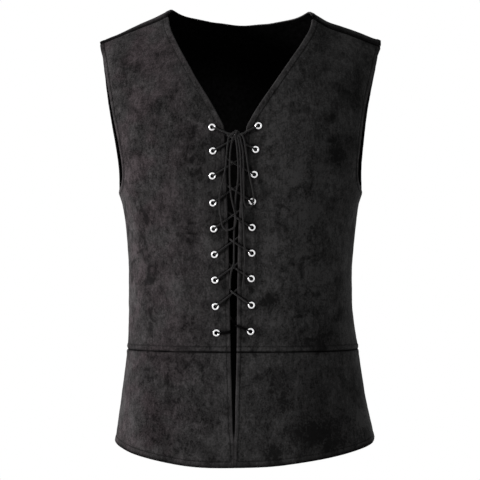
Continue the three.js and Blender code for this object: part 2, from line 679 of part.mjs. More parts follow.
// The free parts of the lace below the knot: each is a list of points, across, depth and height.
const FREE_LACE = {
  lace_loop_right: {
    steps: 36,
    points: [
      [-13.5, -128.4, -165],
      [-16.5, -129.4, -168.5],
      [-18, -130.2, -176],
      [-19.5, -130.8, -190],
      [-21, -131, -208],
      [-24, -131, -226],
      [-27.5, -130.8, -240],
      [-29.8, -130.5, -254],
      [-29.6, -130.2, -268],
      [-27.6, -130.4, -284],
      [-25.2, -131, -294.5],
      [-21, -131.6, -299.3],
      [-14.5, -132, -299.3],
      [-9.2, -132.6, -296],
      [-6.6, -133, -288],
      [-7.2, -133, -279],
      [-10.2, -132.6, -266],
      [-13.2, -131.6, -252],
      [-14.8, -131, -236],
      [-15.4, -131, -216],
      [-15, -131, -196],
      [-13.4, -130.4, -180],
      [-11.4, -129.4, -171.5],
      [-10.2, -128.7, -168.2],
    ],
  },
  lace_loop_left: {
    steps: 32,
    points: [
      [0.8, -128.4, -163.9],
      [3.2, -129.4, -166.5],
      [5.4, -130.4, -173],
      [7.6, -131, -186],
      [9.4, -131.2, -200],
      [11.4, -131.2, -214],
      [14.2, -131, -228],
      [17.2, -130.8, -242],
      [18.8, -130.6, -254],
      [17.6, -130.6, -263.5],
      [13.2, -130.8, -267.6],
      [8.6, -131, -266.4],
      [5.4, -131, -260.5],
      [4.9, -131, -250],
      [4.6, -131, -236],
      [4.4, -131, -216],
      [4, -131, -198],
      [2.6, -130.4, -183],
      [0.6, -129.4, -174],
      [-0.9, -128.7, -167.2],
    ],
  },
  lace_end_right: {
    steps: 26,
    points: [
      [-7.2, -129.4, -168.9],
      [-6.2, -129.9, -173],
      [-5.2, -130.2, -180],
      [-3.9, -130.4, -195],
      [-3.2, -131, -212],
      [-3.4, -131, -226],
      [-4.6, -130.9, -238],
      [-6.3, -130.8, -248],
      [-7.2, -130.4, -262],
      [-7.4, -129.8, -280],
      [-8.2, -129.7, -290],
      [-9, -129.4, -302],
      [-9.2, -129, -320],
      [-9.3, -128.4, -336],
      [-9.6, -128, -347],
      [-11.6, -127.7, -354],
      [-13.6, -127.3, -361],
      [-14.6, -127, -370],
      [-14.9, -126.6, -384],
    ],
  },
  lace_end_left: {
    steps: 26,
    points: [
      [-4, -128.6, -168.6],
      [-2.2, -129.8, -176],
      [-0.6, -130.8, -188],
      [0.2, -131.2, -202],
      [0.4, -131.4, -220],
      [1, -131.4, -238],
      [2.2, -131.2, -258],
      [3.4, -130.8, -278],
      [4.8, -130.2, -300],
      [5.8, -129.6, -322],
      [6.2, -129, -340],
      [5.6, -128.2, -358],
      [4.2, -127.4, -372],
      [2.6, -126.8, -385],
    ],
  },
};

// A point over the front of the bodice, at so many millimetres off the cloth's outer face.
function overFront(x, height, lift) {
  const place = frontPlace(x, height);
  return lifted(bodice, place.angle, place.level, lift);
}

// The lace's lift along one crossing, from one eyelet to the next one up on the other side. "near"
// is the distance from the eyelet that it leaves, and "far" the distance before the one it enters.
const LEAVING = [
  { near: 0, lift: -1 },
  { near: 0.5, lift: 1.4 },
  { near: 2.2, lift: 3.4 },
  { near: 5.6, lift: 3.4 },
];
const ENTERING = [
  { far: 5.6, lift: -5.3 },
  { far: 2.2, lift: -5.4 },
  { far: 0.5, lift: -3.4 },
];
const OVER_EDGE = 2.1;
const UNDER_EDGE = -4.1;
const UPPER_STRAND = { before: 2.5, middle: 2.2, after: 1.1 };
const LOWER_STRAND = { before: -1.4, middle: -2.3, after: -3.4 };
const NEAR_MIDDLE = 2.4;

function crossing(from, to, isUpper) {
  const start = new THREE.Vector2(from.x, from.height);
  const end = new THREE.Vector2(to.x, to.height);
  const length = start.distanceTo(end);
  const at = (distance, lift) => {
    const spot = start.clone().lerp(end, distance / length);
    return overFront(spot.x, spot.y, lift);
  };
  const edgeDistance = (side) => {
    let near = 0;
    let far = 1;
    const isPast = (share) => {
      const spot = start.clone().lerp(end, share);
      const edge = read(OPENING, 'height', spot.y, 'middle') + side * read(OPENING, 'height', spot.y, 'half');
      return (spot.x - edge) * Math.sign(end.x - start.x) > 0;
    };
    for (let i = 0; i < 30; i += 1) {
      const share = (near + far) / 2;
      if (isPast(share)) far = share;
      else near = share;
    }
    return near * length;
  };
  const ownSide = Math.sign(start.x - end.x);
  const middle = (read(OPENING, 'height', (start.y + end.y) / 2, 'middle') - start.x) / (end.x - start.x);
  const strand = isUpper ? UPPER_STRAND : LOWER_STRAND;
  return [
    ...LEAVING.map(({ near, lift }) => at(near, lift)),
    at(edgeDistance(ownSide), OVER_EDGE),
    at(middle * length - NEAR_MIDDLE, strand.before),
    at(middle * length, strand.middle),
    at(middle * length + NEAR_MIDDLE, strand.after),
    at(edgeDistance(-ownSide), UNDER_EDGE),
    ...ENTERING.map(({ far, lift }) => at(length - far, lift)),
  ];
}

// One run of the lace, from the middle of the bar behind the lowest eyelets up to the top eyelet
// and on to the knot.
const BAR_LIFT = -5.4;
const KNOT = { x: -6.4, height: -162.5, lift: 4.2, halfWidth: 6.2, halfHeight: 5, halfDepth: 3.6 };
function lacedRun(firstSide) {
  const other = { right: 'left', left: 'right' };
  let sideName = firstSide;
  const last = EYELET.rows - 1;
  const lowest = eyeletFrames[sideName][last];
  const side = SIDES[sideName];
  const barMiddle = (eyeletFrames.right[last].x + eyeletFrames.left[last].x) / 2 + side * (SEAM_GAP / 2);
  const points = [
    overFront(barMiddle, lowest.height - side * EYELET.sideTilt, BAR_LIFT),
    overFront(mix(barMiddle, lowest.x, 0.5), lowest.height, BAR_LIFT),
    overFront(lowest.x - side * 2.2, lowest.height, BAR_LIFT),
    overFront(lowest.x - side * 0.5, lowest.height, -3.4),
  ];
  for (let row = last; row > 0; row -= 1) {
    const from = eyeletFrames[sideName][row];
    const to = eyeletFrames[other[sideName]][row - 1];
    points.push(...crossing(from, to, (row % 2 === 0) === (sideName === 'right')));
    sideName = other[sideName];
  }
  const top = eyeletFrames[sideName][0];
  const topSide = SIDES[sideName];
  const knotSide = new THREE.Vector2(KNOT.x + topSide * (KNOT.halfWidth + SEAM_GAP), KNOT.height + 2);
  const start = new THREE.Vector2(top.x, top.height);
  const length = start.distanceTo(knotSide);
  for (const { near, lift } of LEAVING) {
    const spot = start.clone().lerp(knotSide, near / length);
    points.push(overFront(spot.x, spot.y, lift));
  }
  const nearKnot = start.clone().lerp(knotSide, 0.75);
  points.push(overFront(nearKnot.x, nearKnot.y, 2.6));
  points.push(overFront(knotSide.x, knotSide.y, KNOT.lift));
  return laceTube(points, points.length - 1);
}

function knot() {
  const centre = overFront(KNOT.x, KNOT.height, KNOT.lift);
  return new THREE.SphereGeometry(1, 10, 7)
    .scale(KNOT.halfWidth, KNOT.halfDepth, KNOT.halfHeight)
    .translate(...centre);
}

const material = {
  suede: new THREE.MeshStandardMaterial({ color: 0x2a2828, roughness: 0.95, metalness: 0 }),
  lace: new THREE.MeshStandardMaterial({ color: 0x262626, roughness: 0.85, metalness: 0 }),
  eyelet: new THREE.MeshStandardMaterial({ color: 0xd8d8d6, roughness: 0.22, metalness: 1 }),
};

const vest = new THREE.Group();
function add(name, geometry, finish) {
  const mesh = new THREE.Mesh(geometry, finish);
  mesh.name = name;
  vest.add(mesh);
}

for (const sideName of ['right', 'left']) {
  const holes = eyeletFrames[sideName].map((frame) => solid(eyeletHole(frame)));
  const cloth = holes.reduce((panel, hole) => panel.subtract(hole), solid(frontCloth[sideName]));
  add(`bodice_front_${sideName}`, meshOf(cloth), material.suede);
  add(`skirt_front_${sideName}`, frontSkirt(sideName), material.suede);
}
add('bodice_back', meshOf(solid(backBodice()).subtract(solid(neckBlock()))), material.suede);
add('skirt_back', backSkirt(), material.suede);
for (const sideName of ['right', 'left']) {
  eyeletFrames[sideName].forEach((frame, row) => {
    add(`eyelet_${sideName}_${row + 1}`, eyeletRing(frame), material.eyelet);
  });
  add(`lace_from_${sideName}`, lacedRun(sideName), material.lace);
}
add('lace_knot', knot(), material.lace);
for (const [name, { points, steps }] of Object.entries(FREE_LACE)) {
  add(name, laceTube(points.map((point) => new THREE.Vector3(...point)), steps), material.lace);
}

export default vest;
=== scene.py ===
# A lace-up suede vest, hollow and open, in the shape that it has when it is worn.
# Metres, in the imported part's frame: +X is the wearer's left, +Y the back, +Z up.
import math

import bpy
import numpy as np
from mathutils.kdtree import KDTree
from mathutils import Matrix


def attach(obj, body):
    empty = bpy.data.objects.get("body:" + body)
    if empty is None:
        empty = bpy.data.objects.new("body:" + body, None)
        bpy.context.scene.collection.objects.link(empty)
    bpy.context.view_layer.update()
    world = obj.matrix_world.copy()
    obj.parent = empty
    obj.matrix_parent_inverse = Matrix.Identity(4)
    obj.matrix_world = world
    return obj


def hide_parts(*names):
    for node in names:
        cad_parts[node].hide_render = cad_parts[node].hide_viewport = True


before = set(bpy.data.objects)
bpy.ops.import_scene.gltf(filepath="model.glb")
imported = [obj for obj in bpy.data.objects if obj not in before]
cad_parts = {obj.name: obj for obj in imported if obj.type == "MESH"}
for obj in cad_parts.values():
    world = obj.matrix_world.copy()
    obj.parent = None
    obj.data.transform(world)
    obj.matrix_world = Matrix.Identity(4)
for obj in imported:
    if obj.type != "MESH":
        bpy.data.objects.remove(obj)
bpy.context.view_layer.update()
scene = bpy.context.scene

# The camera stands level with the middle of the front and looks straight at it, from far enough
# away that the vest is seen almost without perspective.
CAMERA_DISTANCE = 3.2
CAMERA_X = -0.0007
CAMERA_Z = -0.314
FRAME_WIDTH = 0.7104
SENSOR_WIDTH = 36
FARTHEST_SEEN = 30
camera_data = bpy.data.cameras.new("camera")
camera_data.sensor_width = SENSOR_WIDTH
camera_data.lens = SENSOR_WIDTH * CAMERA_DISTANCE / FRAME_WIDTH
camera_data.clip_end = FARTHEST_SEEN
camera = bpy.data.objects.new("camera", camera_data)
camera.location = (CAMERA_X, -CAMERA_DISTANCE, CAMERA_Z)
camera.rotation_euler = (math.pi / 2, 0, 0)
scene.collection.objects.link(camera)
scene.camera = camera

# The free parts of the lace: two loops of the bow and the two cut ends, which hang limp from the
# knot. The lace is one soft braided cotton cord, 2.6 mm thick, and it was only tied.
LACE_DIAMETER = 0.0026
LACE_SIDES = 14
LACE_STEP = 0.0008
BRAID_PITCH = 0.0052
BRAID_RISE = 0.05
BRAID_STRANDS = 3
CUT_END = (0.35, 0.75, 0.95)
SPLINE_STEPS = 24
FREE_LACE = {
    "lace_loop_right": [
        (-0.0135, -0.1284, -0.165), (-0.0165, -0.1294, -0.1685), (-0.018, -0.1302, -0.176),
        (-0.0195, -0.1308, -0.19), (-0.021, -0.131, -0.208), (-0.024, -0.131, -0.226),
        (-0.0275, -0.1308, -0.24), (-0.0298, -0.1305, -0.254), (-0.0296, -0.1302, -0.268),
        (-0.0276, -0.1304, -0.284), (-0.0252, -0.131, -0.2945), (-0.021, -0.1316, -0.2993),
        (-0.0145, -0.132, -0.2993), (-0.0092, -0.1326, -0.296), (-0.0066, -0.133, -0.288),
        (-0.0072, -0.133, -0.279), (-0.0102, -0.1326, -0.266), (-0.0132, -0.1316, -0.252),
        (-0.0148, -0.131, -0.236), (-0.0154, -0.131, -0.216), (-0.015, -0.131, -0.196),
        (-0.0134, -0.1304, -0.18), (-0.0114, -0.1294, -0.1715), (-0.0102, -0.1287, -0.1682),
    ],
    "lace_loop_left": [
        (0.0008, -0.1284, -0.1639), (0.0032, -0.1294, -0.1665), (0.0054, -0.1304, -0.173),
        (0.0076, -0.131, -0.186), (0.0094, -0.1312, -0.2), (0.0114, -0.1312, -0.214),
        (0.0142, -0.131, -0.228), (0.0172, -0.1308, -0.242), (0.0188, -0.1306, -0.254),
        (0.0176, -0.1306, -0.2635), (0.0132, -0.1308, -0.2676), (0.0086, -0.131, -0.2664),
        (0.0054, -0.131, -0.2605), (0.0049, -0.131, -0.25), (0.0046, -0.131, -0.236),
        (0.0044, -0.131, -0.216), (0.004, -0.131, -0.198), (0.0026, -0.1304, -0.183),
        (0.0006, -0.1294, -0.174), (-0.0009, -0.1287, -0.1672),
    ],
    "lace_end_right": [
        (-0.0072, -0.1294, -0.1689), (-0.0062, -0.1299, -0.173), (-0.0052, -0.1302, -0.18),
        (-0.0039, -0.1304, -0.195), (-0.0032, -0.131, -0.212), (-0.0034, -0.131, -0.226),
        (-0.0046, -0.1309, -0.238), (-0.0063, -0.1308, -0.248), (-0.0072, -0.1304, -0.262),
        (-0.0074, -0.1298, -0.28), (-0.0082, -0.1297, -0.29), (-0.009, -0.1294, -0.302),
        (-0.0092, -0.129, -0.32), (-0.0093, -0.1284, -0.336), (-0.0096, -0.128, -0.347),
        (-0.0116, -0.1277, -0.354), (-0.0136, -0.1273, -0.361), (-0.0146, -0.127, -0.37),
        (-0.0149, -0.1266, -0.384),
    ],
    "lace_end_left": [
        (-0.004, -0.1286, -0.1686), (-0.0022, -0.1298, -0.176), (-0.0006, -0.1308, -0.188),
        (0.0002, -0.1312, -0.202), (0.0004, -0.1314, -0.22), (0.001, -0.1314, -0.238),
        (0.0022, -0.1312, -0.258), (0.0034, -0.1308, -0.278), (0.0048, -0.1302, -0.3),
        (0.0058, -0.1296, -0.322), (0.0062, -0.129, -0.34), (0.0056, -0.1282, -0.358),
        (0.0042, -0.1274, -0.372), (0.0026, -0.1268, -0.385),
    ],
}


def lengths_along(line):
    """How far along a line each of its places lies."""
    return np.concatenate([[0], np.cumsum(np.linalg.norm(np.diff(line, axis=0), axis=1))])


def places_along(line, lengths):
    """The places on a line at some lengths along it."""
    along = lengths_along(line)
    return np.column_stack([np.interp(lengths, along, line[:, axis]) for axis in range(3)])


def smooth_route(points, step):
    """A centripetal spline through the points, as places that lie evenly along it."""
    points = np.array(points, float)
    around = np.vstack([2 * points[0] - points[1], points, 2 * points[-1] - points[-2]])
    share = np.linspace(0, 1, SPLINE_STEPS, endpoint=False)[:, None]
    pieces = []
    for a, b, c, d in zip(around, around[1:], around[2:], around[3:]):
        before, between, after = (np.linalg.norm(q - p) ** 0.5 for p, q in ((a, b), (b, c), (c, d)))
        leave = (b - a) / before - (c - a) / (before + between) + (c - b) / between
        enter = (c - b) / between - (d - b) / (between + after) + (d - c) / after
        leave, enter = leave * between, enter * between
        pieces.append(
            b + leave * share
            + (3 * (c - b) - 2 * leave - enter) * share**2
            + (2 * (b - c) + leave + enter) * share**3
        )
    route = np.vstack([*pieces, points[-1:]])
    length = lengths_along(route)[-1]
    return places_along(route, np.linspace(0, length, int(round(length / step)) + 1))


NO_LENGTH = 1e-12


def unit(vectors):
    return vectors / np.maximum(np.linalg.norm(vectors, axis=-1, keepdims=True), NO_LENGTH)


def turning_frames(route):
    """Two directions across the route at each place, which turn with it and never twist."""
    along = unit(np.gradient(route, axis=0))
    across = np.empty_like(route)
    across[0] = unit(np.cross(along[0], (0, 1, 0)))
    for i in range(1, len(route)):
        across[i] = unit(across[i - 1] - along[i] * np.dot(across[i - 1], along[i]))
    return across, np.cross(along, across)


def mesh_object(name, points, faces, materials, face_material=None):
    """A smooth mesh piece in place, with its material slots filled."""
    mesh = bpy.data.meshes.new(name)
    if isinstance(faces, np.ndarray):
        faces = faces.tolist()
    mesh.from_pydata(np.asarray(points).tolist(), [], faces)
    for material in materials:
        mesh.materials.append(material)
    mesh.polygons.foreach_set("use_smooth", np.ones(len(mesh.polygons), bool))
    if face_material is not None:
        mesh.polygons.foreach_set("material_index", np.asarray(face_material, np.int32))
    mesh.update()
    thing = bpy.data.objects.new(name, mesh)
    scene.collection.objects.link(thing)
    return thing


def braid_places(thing, length):
    """Tells the lace's material how far along and how far round the cord each face lies."""
    layer = thing.data.uv_layers.new(name="along")
    uv = np.zeros((len(thing.data.loops), 2), np.float32)
    quads = (len(length) - 1) * LACE_SIDES
    row, column = np.divmod(np.arange(quads), LACE_SIDES)
    for corner, (later, beside) in enumerate(((0, 0), (0, 1), (1, 1), (1, 0))):
        uv[corner : quads * 4 : 4, 0] = length[row + later] / BRAID_PITCH
        uv[corner : quads * 4 : 4, 1] = (column + beside) / LACE_SIDES
    layer.data.foreach_set("uv", uv.ravel())


def lace_mesh(name, route):
    """A braided cord along a route, with two families of strands crossing round it and ends that
    are cut and sealed."""
    count = len(route)
    across, over = turning_frames(route)
    length = np.arange(count) * np.linalg.norm(route[1] - route[0])
    narrowing = np.ones(count)
    for i, share in enumerate(CUT_END):
        narrowing[[i, -1 - i]] = share
    around = np.linspace(0, math.tau, LACE_SIDES, endpoint=False)
    turn = math.tau * length[:, None] / BRAID_PITCH
    braid = np.cos(BRAID_STRANDS * around + turn) * np.cos(BRAID_STRANDS * around - turn)
    reach = LACE_DIAMETER / 2 * narrowing[:, None] * (1 - BRAID_RISE + BRAID_RISE * braid)
    sideways = np.cos(around)[:, None] * across[:, None] + np.sin(around)[:, None] * over[:, None]
    rings = route[:, None] + reach[..., None] * sideways
    points = np.vstack([rings.reshape(-1, 3), route[:1], route[-1:]])
    ring = np.arange(count * LACE_SIDES).reshape(count, LACE_SIDES)
    after = np.roll(ring, -1, axis=1)
    faces = np.stack([ring[:-1], after[:-1], after[1:], ring[1:]], axis=-1).reshape(-1, 4).tolist()
    first, last = count * LACE_SIDES, count * LACE_SIDES + 1
    faces += [[first, int(b), int(a)] for a, b in zip(ring[0], after[0])]
    faces += [[last, int(a), int(b)] for a, b in zip(ring[-1], after[-1])]
    thing = mesh_object(name, points, faces, [LACE_COTTON])
    braid_places(thing, length)
    return thing


def fill_inputs(tree, made, inputs):
    """Sets each input of a node to a value, or links it from a socket."""
    for key, value in inputs.items():
        if isinstance(value, bpy.types.NodeSocket):
            tree.links.new(value, made.inputs[key])
        else:
            made.inputs[key].default_value = value


def node(tree, kind, inputs=(), **settings):
    """A node with its settings and its inputs."""
    made = tree.nodes.new(kind)
    for key, value in settings.items():
        setattr(made, key, value)
    fill_inputs(tree, made, dict(inputs))
    return made


def maths(tree, operation, first, second=0.0):
    return node(tree, "ShaderNodeMath", {0: first, 1: second}, operation=operation).outputs[0]


def times(tree, first, second):
    return maths(tree, "MULTIPLY", first, second)


def plus(tree, first, second):
    return maths(tree, "ADD", first, second)


def spread(tree, value, low, high, to_low=0.0, to_high=1.0):
    """The value, stretched from one range to another and held inside it."""
    inputs = {"Value": value, "From Min": low, "From Max": high, "To Min": to_low, "To Max": to_high}
    return node(tree, "ShaderNodeMapRange", inputs, interpolation_type="SMOOTHSTEP").outputs["Result"]


def noise(tree, place, scale, detail=2.0, rough=0.5, bend=0.0):
    inputs = {"Vector": place, "Scale": scale, "Detail": detail, "Roughness": rough, "Distortion": bend}
    return node(tree, "ShaderNodeTexNoise", inputs).outputs["Fac"]


def blend_colours(tree, share, first, second, way="MIX"):
    inputs = {0: share, 6: first, 7: second}
    return node(tree, "ShaderNodeMix", inputs, data_type="RGBA", blend_type=way).outputs[2]


def relief(tree, height, strength, depth):
    """The direction of a surface that has small unevenness."""
    inputs = {"Strength": strength, "Distance": depth, "Height": height}
    return node(tree, "ShaderNodeBump", inputs).outputs[0]


def object_place(tree):
    return node(tree, "ShaderNodeTexCoord").outputs["Object"]


def new_material(name):
    material = bpy.data.materials.new(name)
    material.use_nodes = True
    tree = material.node_tree
    tree.nodes.clear()
    surface = tree.nodes.new("ShaderNodeBsdfPrincipled")
    output = tree.nodes.new("ShaderNodeOutputMaterial")
    tree.links.new(surface.outputs[0], output.inputs[0])
    return material, tree, surface


def socket(group, name, kind, direction="INPUT"):
    return group.interface.new_socket(name=name, in_out=direction, socket_type="NodeSocket" + kind)


def tone_and_height_group(name, value_name):
    """A new shader group that makes a tone and a height out of a place and one value."""
    group = bpy.data.node_groups.new(name, "ShaderNodeTree")
    socket(group, "Place", "Vector")
    socket(group, value_name, "Float")
    socket(group, "Tone", "Float", "OUTPUT")
    socket(group, "Height", "Float", "OUTPUT")
    inside = group.nodes.new("NodeGroupInput")
    out = group.nodes.new("NodeGroupOutput")
    return group, inside.outputs["Place"], inside.outputs[value_name], out


CLUMPS = {"fineness": 0.22, "rise": 0.8}


def fibre_fuzz():
    """Short fibres and lint: a fine uneven tone and height, used by the lace, thread and suede."""
    group, place, fineness, out = tone_and_height_group("fibre fuzz", "Fineness")
    grain = noise(group, place, fineness, detail=3.0, rough=0.65)
    coarser = times(group, fineness, CLUMPS["fineness"])
    clumps = noise(group, place, coarser, detail=3.0, rough=0.6, bend=0.4)
    fill_inputs(group, out, {
        "Tone": spread(group, clumps, low=0.3, high=0.7),
        "Height": plus(group, grain, times(group, clumps, CLUMPS["rise"])),
    })
    return group


FIBRE_FUZZ = fibre_fuzz()
LACE_DARK = (0.0032, 0.0031, 0.0032, 1)
LACE_LIGHT = (0.021, 0.0207, 0.0208, 1)
LACE_SHEEN = (0.75, 0.74, 0.74, 1)
# The heights below which the lace is painted black, as shade.
PAINTED_SHADE_HEIGHTS = (-0.434, -0.42)
LINT_RISE = 0.35


def fuzz_at(tree, place, fineness):
    """The tone and the height of the fuzz at a place."""
    fuzz = node(tree, "ShaderNodeGroup", {"Place": place, "Fineness": fineness}, node_tree=FIBRE_FUZZ)
    return fuzz.outputs["Tone"], fuzz.outputs["Height"]


def lace_material():
    """Dull black-grey cotton: crossing strands, with shade painted dark in the gaps between them.
    Its lowest stretch is painted deep black, without shine, as shade."""
    material, tree, surface = new_material("lace cotton")
    uv = node(tree, "ShaderNodeUVMap", uv_map="along").outputs[0]
    parts = node(tree, "ShaderNodeSeparateXYZ", {0: uv})
    along = times(tree, parts.outputs[0], math.tau)
    around = times(tree, parts.outputs[1], math.tau * BRAID_STRANDS)
    right = maths(tree, "COSINE", plus(tree, around, along))
    left = maths(tree, "COSINE", maths(tree, "SUBTRACT", around, along))
    crossed = maths(tree, "ABSOLUTE", times(tree, right, left))
    strand = spread(tree, crossed, low=0.0, high=0.45)
    place = object_place(tree)
    fuzz, lint = fuzz_at(tree, place, fineness=2600.0)
    # The tone is painted dark in the gaps between the strands, as shade.
    tone = times(tree, strand, spread(tree, fuzz, low=0.0, high=1.0, to_low=0.55))
    height = node(tree, "ShaderNodeSeparateXYZ", {0: place}).outputs[2]
    # Below these heights the lace is painted black and loses its shine, standing in for shade.
    above_painted_shade = spread(tree, height, *PAINTED_SHADE_HEIGHTS)
    uneven = plus(tree, times(tree, lint, LINT_RISE), strand)
    fill_inputs(tree, surface, {
        "Base Color": blend_colours(tree, times(tree, tone, above_painted_shade), LACE_DARK, LACE_LIGHT),
        "Normal": relief(tree, uneven, strength=0.6, depth=0.0003),
        "Roughness": 0.8,
        "Specular IOR Level": times(tree, above_painted_shade, 0.1),
        "Sheen Weight": times(tree, above_painted_shade, 0.12),
        "Sheen Roughness": 0.5,
        "Sheen Tint": LACE_SHEEN,
    })
    return material


LACE_COTTON = lace_material()
INTO_KNOT = 0.25


def mix(first, second, share):
    return first + (second - first) * share


def belongs_to(piece, slot, *solids):
    """Every piece rides on the one body and stands for some solids. Its slot is not used."""
    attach(piece, "root")
    if solids:
        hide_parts(*solids)


def free_lace(node_name, points):
    """One loop or end of the bow, a free cord in place of its solid.
    It starts inside the knot, and a loop ends there too."""
    is_loop = "loop" in node_name
    first, last = np.array(points[0]), np.array(points[-1])
    points = [mix(KNOT_HEART, first, INTO_KNOT), *points]
    if is_loop:
        points.append(mix(KNOT_HEART, last, INTO_KNOT))
    route = smooth_route(points, LACE_STEP)
    piece = lace_mesh("cord_" + node_name, route)
    belongs_to(piece, "lace", node_name)


KNOT_HEART = np.array([-0.0064, -0.1276, -0.1635])
for lace_name, lace_points in FREE_LACE.items():
    free_lace(lace_name, lace_points)

# The six pieces of cloth: two fronts and a back, and a skirt below the waist in the same three
# parts. They are cut from black suede cloth with a black reverse, and sewn together at the
# shoulders, sides and waist.
WALL = 0.002
CLEAR_OF_SEAM = -0.0001
SHOULDER_HEIGHT = 0.0214
WAIST = -0.474
UNDERARM = -0.243
NECK_CORNER = -0.155
NECK_HALF_WIDTH = 0.107
SHOULDER_ROUNDING = 0.05
ROLL = 0.34
SHOULDER_SEAM = {"right": (21.5, 14), "left": (22, 22)}
HEM_SIDE = -0.608
HEM_DROP = {"front": 0.03, "back": 0.018}
HEM_TILT = 0.0024
HEM_LIFT = {"rise": 0.0026, "around": 37, "spread": 17}
SIDES = {"right": -1, "left": 1}
QUARTER_TURN = math.pi / 2
SETTLING_ROUNDS = 14


class Table:
    """A short table. Each column is read against the first one, on a smooth curve."""

    def __init__(self, columns, rows):
        self.columns = {name: i for i, name in enumerate(columns.split())}
        self.rows = np.array(rows, float)

    def read(self, at, column):
        key = self.rows[:, 0]
        value = self.rows[:, self.columns[column]]
        slope = np.diff(value) / np.diff(key)
        before, after = slope[:-1], slope[1:]
        total = np.where(before + after == 0, 1, before + after)
        inner = np.where(before * after > 0, 2 * before * after / total, 0)
        tangent = np.concatenate([slope[:1], inner, slope[-1:]])
        at = np.asarray(at, float)
        i = np.clip(np.searchsorted(key, at) - 1, 0, len(key) - 2)
        width = key[i + 1] - key[i]
        s = np.clip((at - key[i]) / width, 0, 1)
        return (
            (2 * s**3 - 3 * s**2 + 1) * value[i]
            + (s**3 - 2 * s**2 + s) * width * tangent[i]
            + (3 * s**2 - 2 * s**3) * value[i + 1]
            + (s**3 - s**2) * width * tangent[i + 1]
        )

    def read_all(self, at, *columns):
        return [self.read(at, column) for column in columns]


SECTION_SIZES = ("half_width", "front", "back", "square")
BODICE_SECTIONS = Table("down half_width front back square", [
    (0, 0.2145, 0.098, 0.1, 2.5),
    (0.07, 0.2105, 0.101, 0.105, 2.5),
    (0.18, 0.203, 0.109, 0.113, 2.45),
    (0.3, 0.194, 0.118, 0.117, 2.4),
    (0.424, 0.1845, 0.124, 0.116, 2.4),
    (0.508, 0.179, 0.125, 0.113, 2.35),
    (0.545, 0.1743, 0.124, 0.111, 2.3),
    (0.6, 0.1704, 0.123, 0.108, 2.3),
    (0.68, 0.1668, 0.121, 0.104, 2.3),
    (0.76, 0.165, 0.119, 0.101, 2.3),
    (0.86, 0.165, 0.117, 0.099, 2.3),
    (0.94, 0.1673, 0.116, 0.1, 2.3),
    (1, 0.1704, 0.116, 0.102, 2.3),
])
SKIRT_SECTIONS = Table("height half_width front back square", [
    (-0.64, 0.197, 0.123, 0.124, 2.3),
    (-0.607, 0.191, 0.121, 0.121, 2.3),
    (-0.562, 0.1832, 0.119, 0.115, 2.3),
    (-0.527, 0.178, 0.118, 0.11, 2.3),
    (-0.491, 0.1726, 0.1165, 0.1045, 2.3),
    (-0.474, 0.1704, 0.116, 0.102, 2.3),
])
LEAN = Table("height lean", [
    (-0.64, 0.0067),
    (-0.607, 0.0067),
    (-0.565, 0.0054),
    (-0.527, 0.0044),
    (-0.474, 0.0037),
    (-0.438, 0.0015),
    (-0.402, 0),
    (-0.243, 0),
    (-0.189, -0.001),
    (-0.118, -0.003),
    (-0.047, -0.0007),
    (0.03, 0.0005),
])
OPENING = Table("height middle half", [
    (-0.64, -0.0089, 0.00012),
    (-0.603, -0.009, 0.00015),
    (-0.595, -0.0092, 0.0009),
    (-0.583, -0.0094, 0.0021),
    (-0.542, -0.0097, 0.003),
    (-0.474, -0.0097, 0.0049),
    (-0.447, -0.0098, 0.0052),
    (-0.313, -0.0102, 0.0074),
    (-0.2, -0.0088, 0.0132),
    (-0.155, -0.0076, 0.0162),
    (-0.14, -0.0073, 0.023),
    (-0.128, -0.007, 0.0296),
    (-0.112, -0.0064, 0.0395),
    (-0.086, -0.0054, 0.0563),
    (-0.057, -0.0036, 0.074),
    (-0.028, -0.0016, 0.0912),
    (-0.002, -0.0003, 0.1034),
    (0.022, 0, 0.1076),
])
ARMHOLE = Table("height front back", [
    (-0.243, 1, 1),
    (-0.24, 0.988, 0.9985),
    (-0.232, 0.958, 0.9945),
    (-0.218, 0.938, 0.987),
    (-0.195, 0.93, 0.979),
    (-0.16, 0.928, 0.973),
    (-0.12, 0.93, 0.969),
    (-0.085, 0.94, 0.968),
    (-0.05, 0.952, 0.967),
    (-0.032, 0.966, 0.966),
    (-0.018, 0.966, 0.966),
])
SHOULDER_LINE = Table("out right left", [
    (0.05, 0.057, 0.052),
    (0.118, 0.0249, 0.0214),
    (0.139, 0.0133, 0.0087),
    (0.161, 0.003, 0.001),
    (0.184, -0.0078, -0.0076),
    (0.214, -0.0205, -0.0193),
])
BACK_NECK = Table("share across over", [
    (-0.23, -0.343, 37.3),
    (0, 0, 41.2),
    (0.23, 0.343, 37.3),
    (0.38, 0.565, 31.6),
    (0.55, 0.787, 22.8),
    (0.68, 0.9, 13),
    (0.82, 0.965, -1),
    (1, 1, -18),
])
# Soft folds: degrees from the middle of the front, spread in degrees, top, bottom and rise.
FOLDS = [
    (-38, 6, -0.185, -0.47, 0.0026),
    (-28, 5, -0.17, -0.4, -0.0022),
    (-66, 6, -0.2, -0.33, 0.0032),
    (-54, 5, -0.15, -0.3, -0.0024),
    (-76, 7, -0.36, -0.56, 0.0018),
    (-63, 7, -0.49, -0.72, 0.004),
    (-46, 6, -0.48, -0.72, -0.0036),
    (-28, 7, -0.5, -0.72, 0.0024),
    (64, 7, -0.2, -0.46, 0.0026),
    (49, 6, -0.13, -0.33, -0.0032),
    (31, 8, -0.23, -0.46, 0.002),
    (72, 8, -0.5, -0.72, 0.0046),
    (53, 7, -0.48, -0.72, -0.004),
    (33, 7, -0.5, -0.72, 0.0028),
    (112, 8, -0.23, -0.52, 0.0026),
    (128, 8, -0.09, -0.42, -0.003),
    (146, 7, -0.25, -0.6, 0.0034),
    (164, 8, -0.12, -0.47, -0.0024),
    (122, 9, -0.5, -0.72, 0.004),
    (172, 8, -0.48, -0.72, 0.0032),
    (-110, 8, -0.22, -0.5, 0.0028),
    (-127, 7, -0.1, -0.4, -0.0028),
    (-150, 8, -0.23, -0.61, 0.003),
    (-168, 7, -0.3, -0.52, -0.0022),
    (-124, 8, -0.5, -0.72, 0.0038),
]


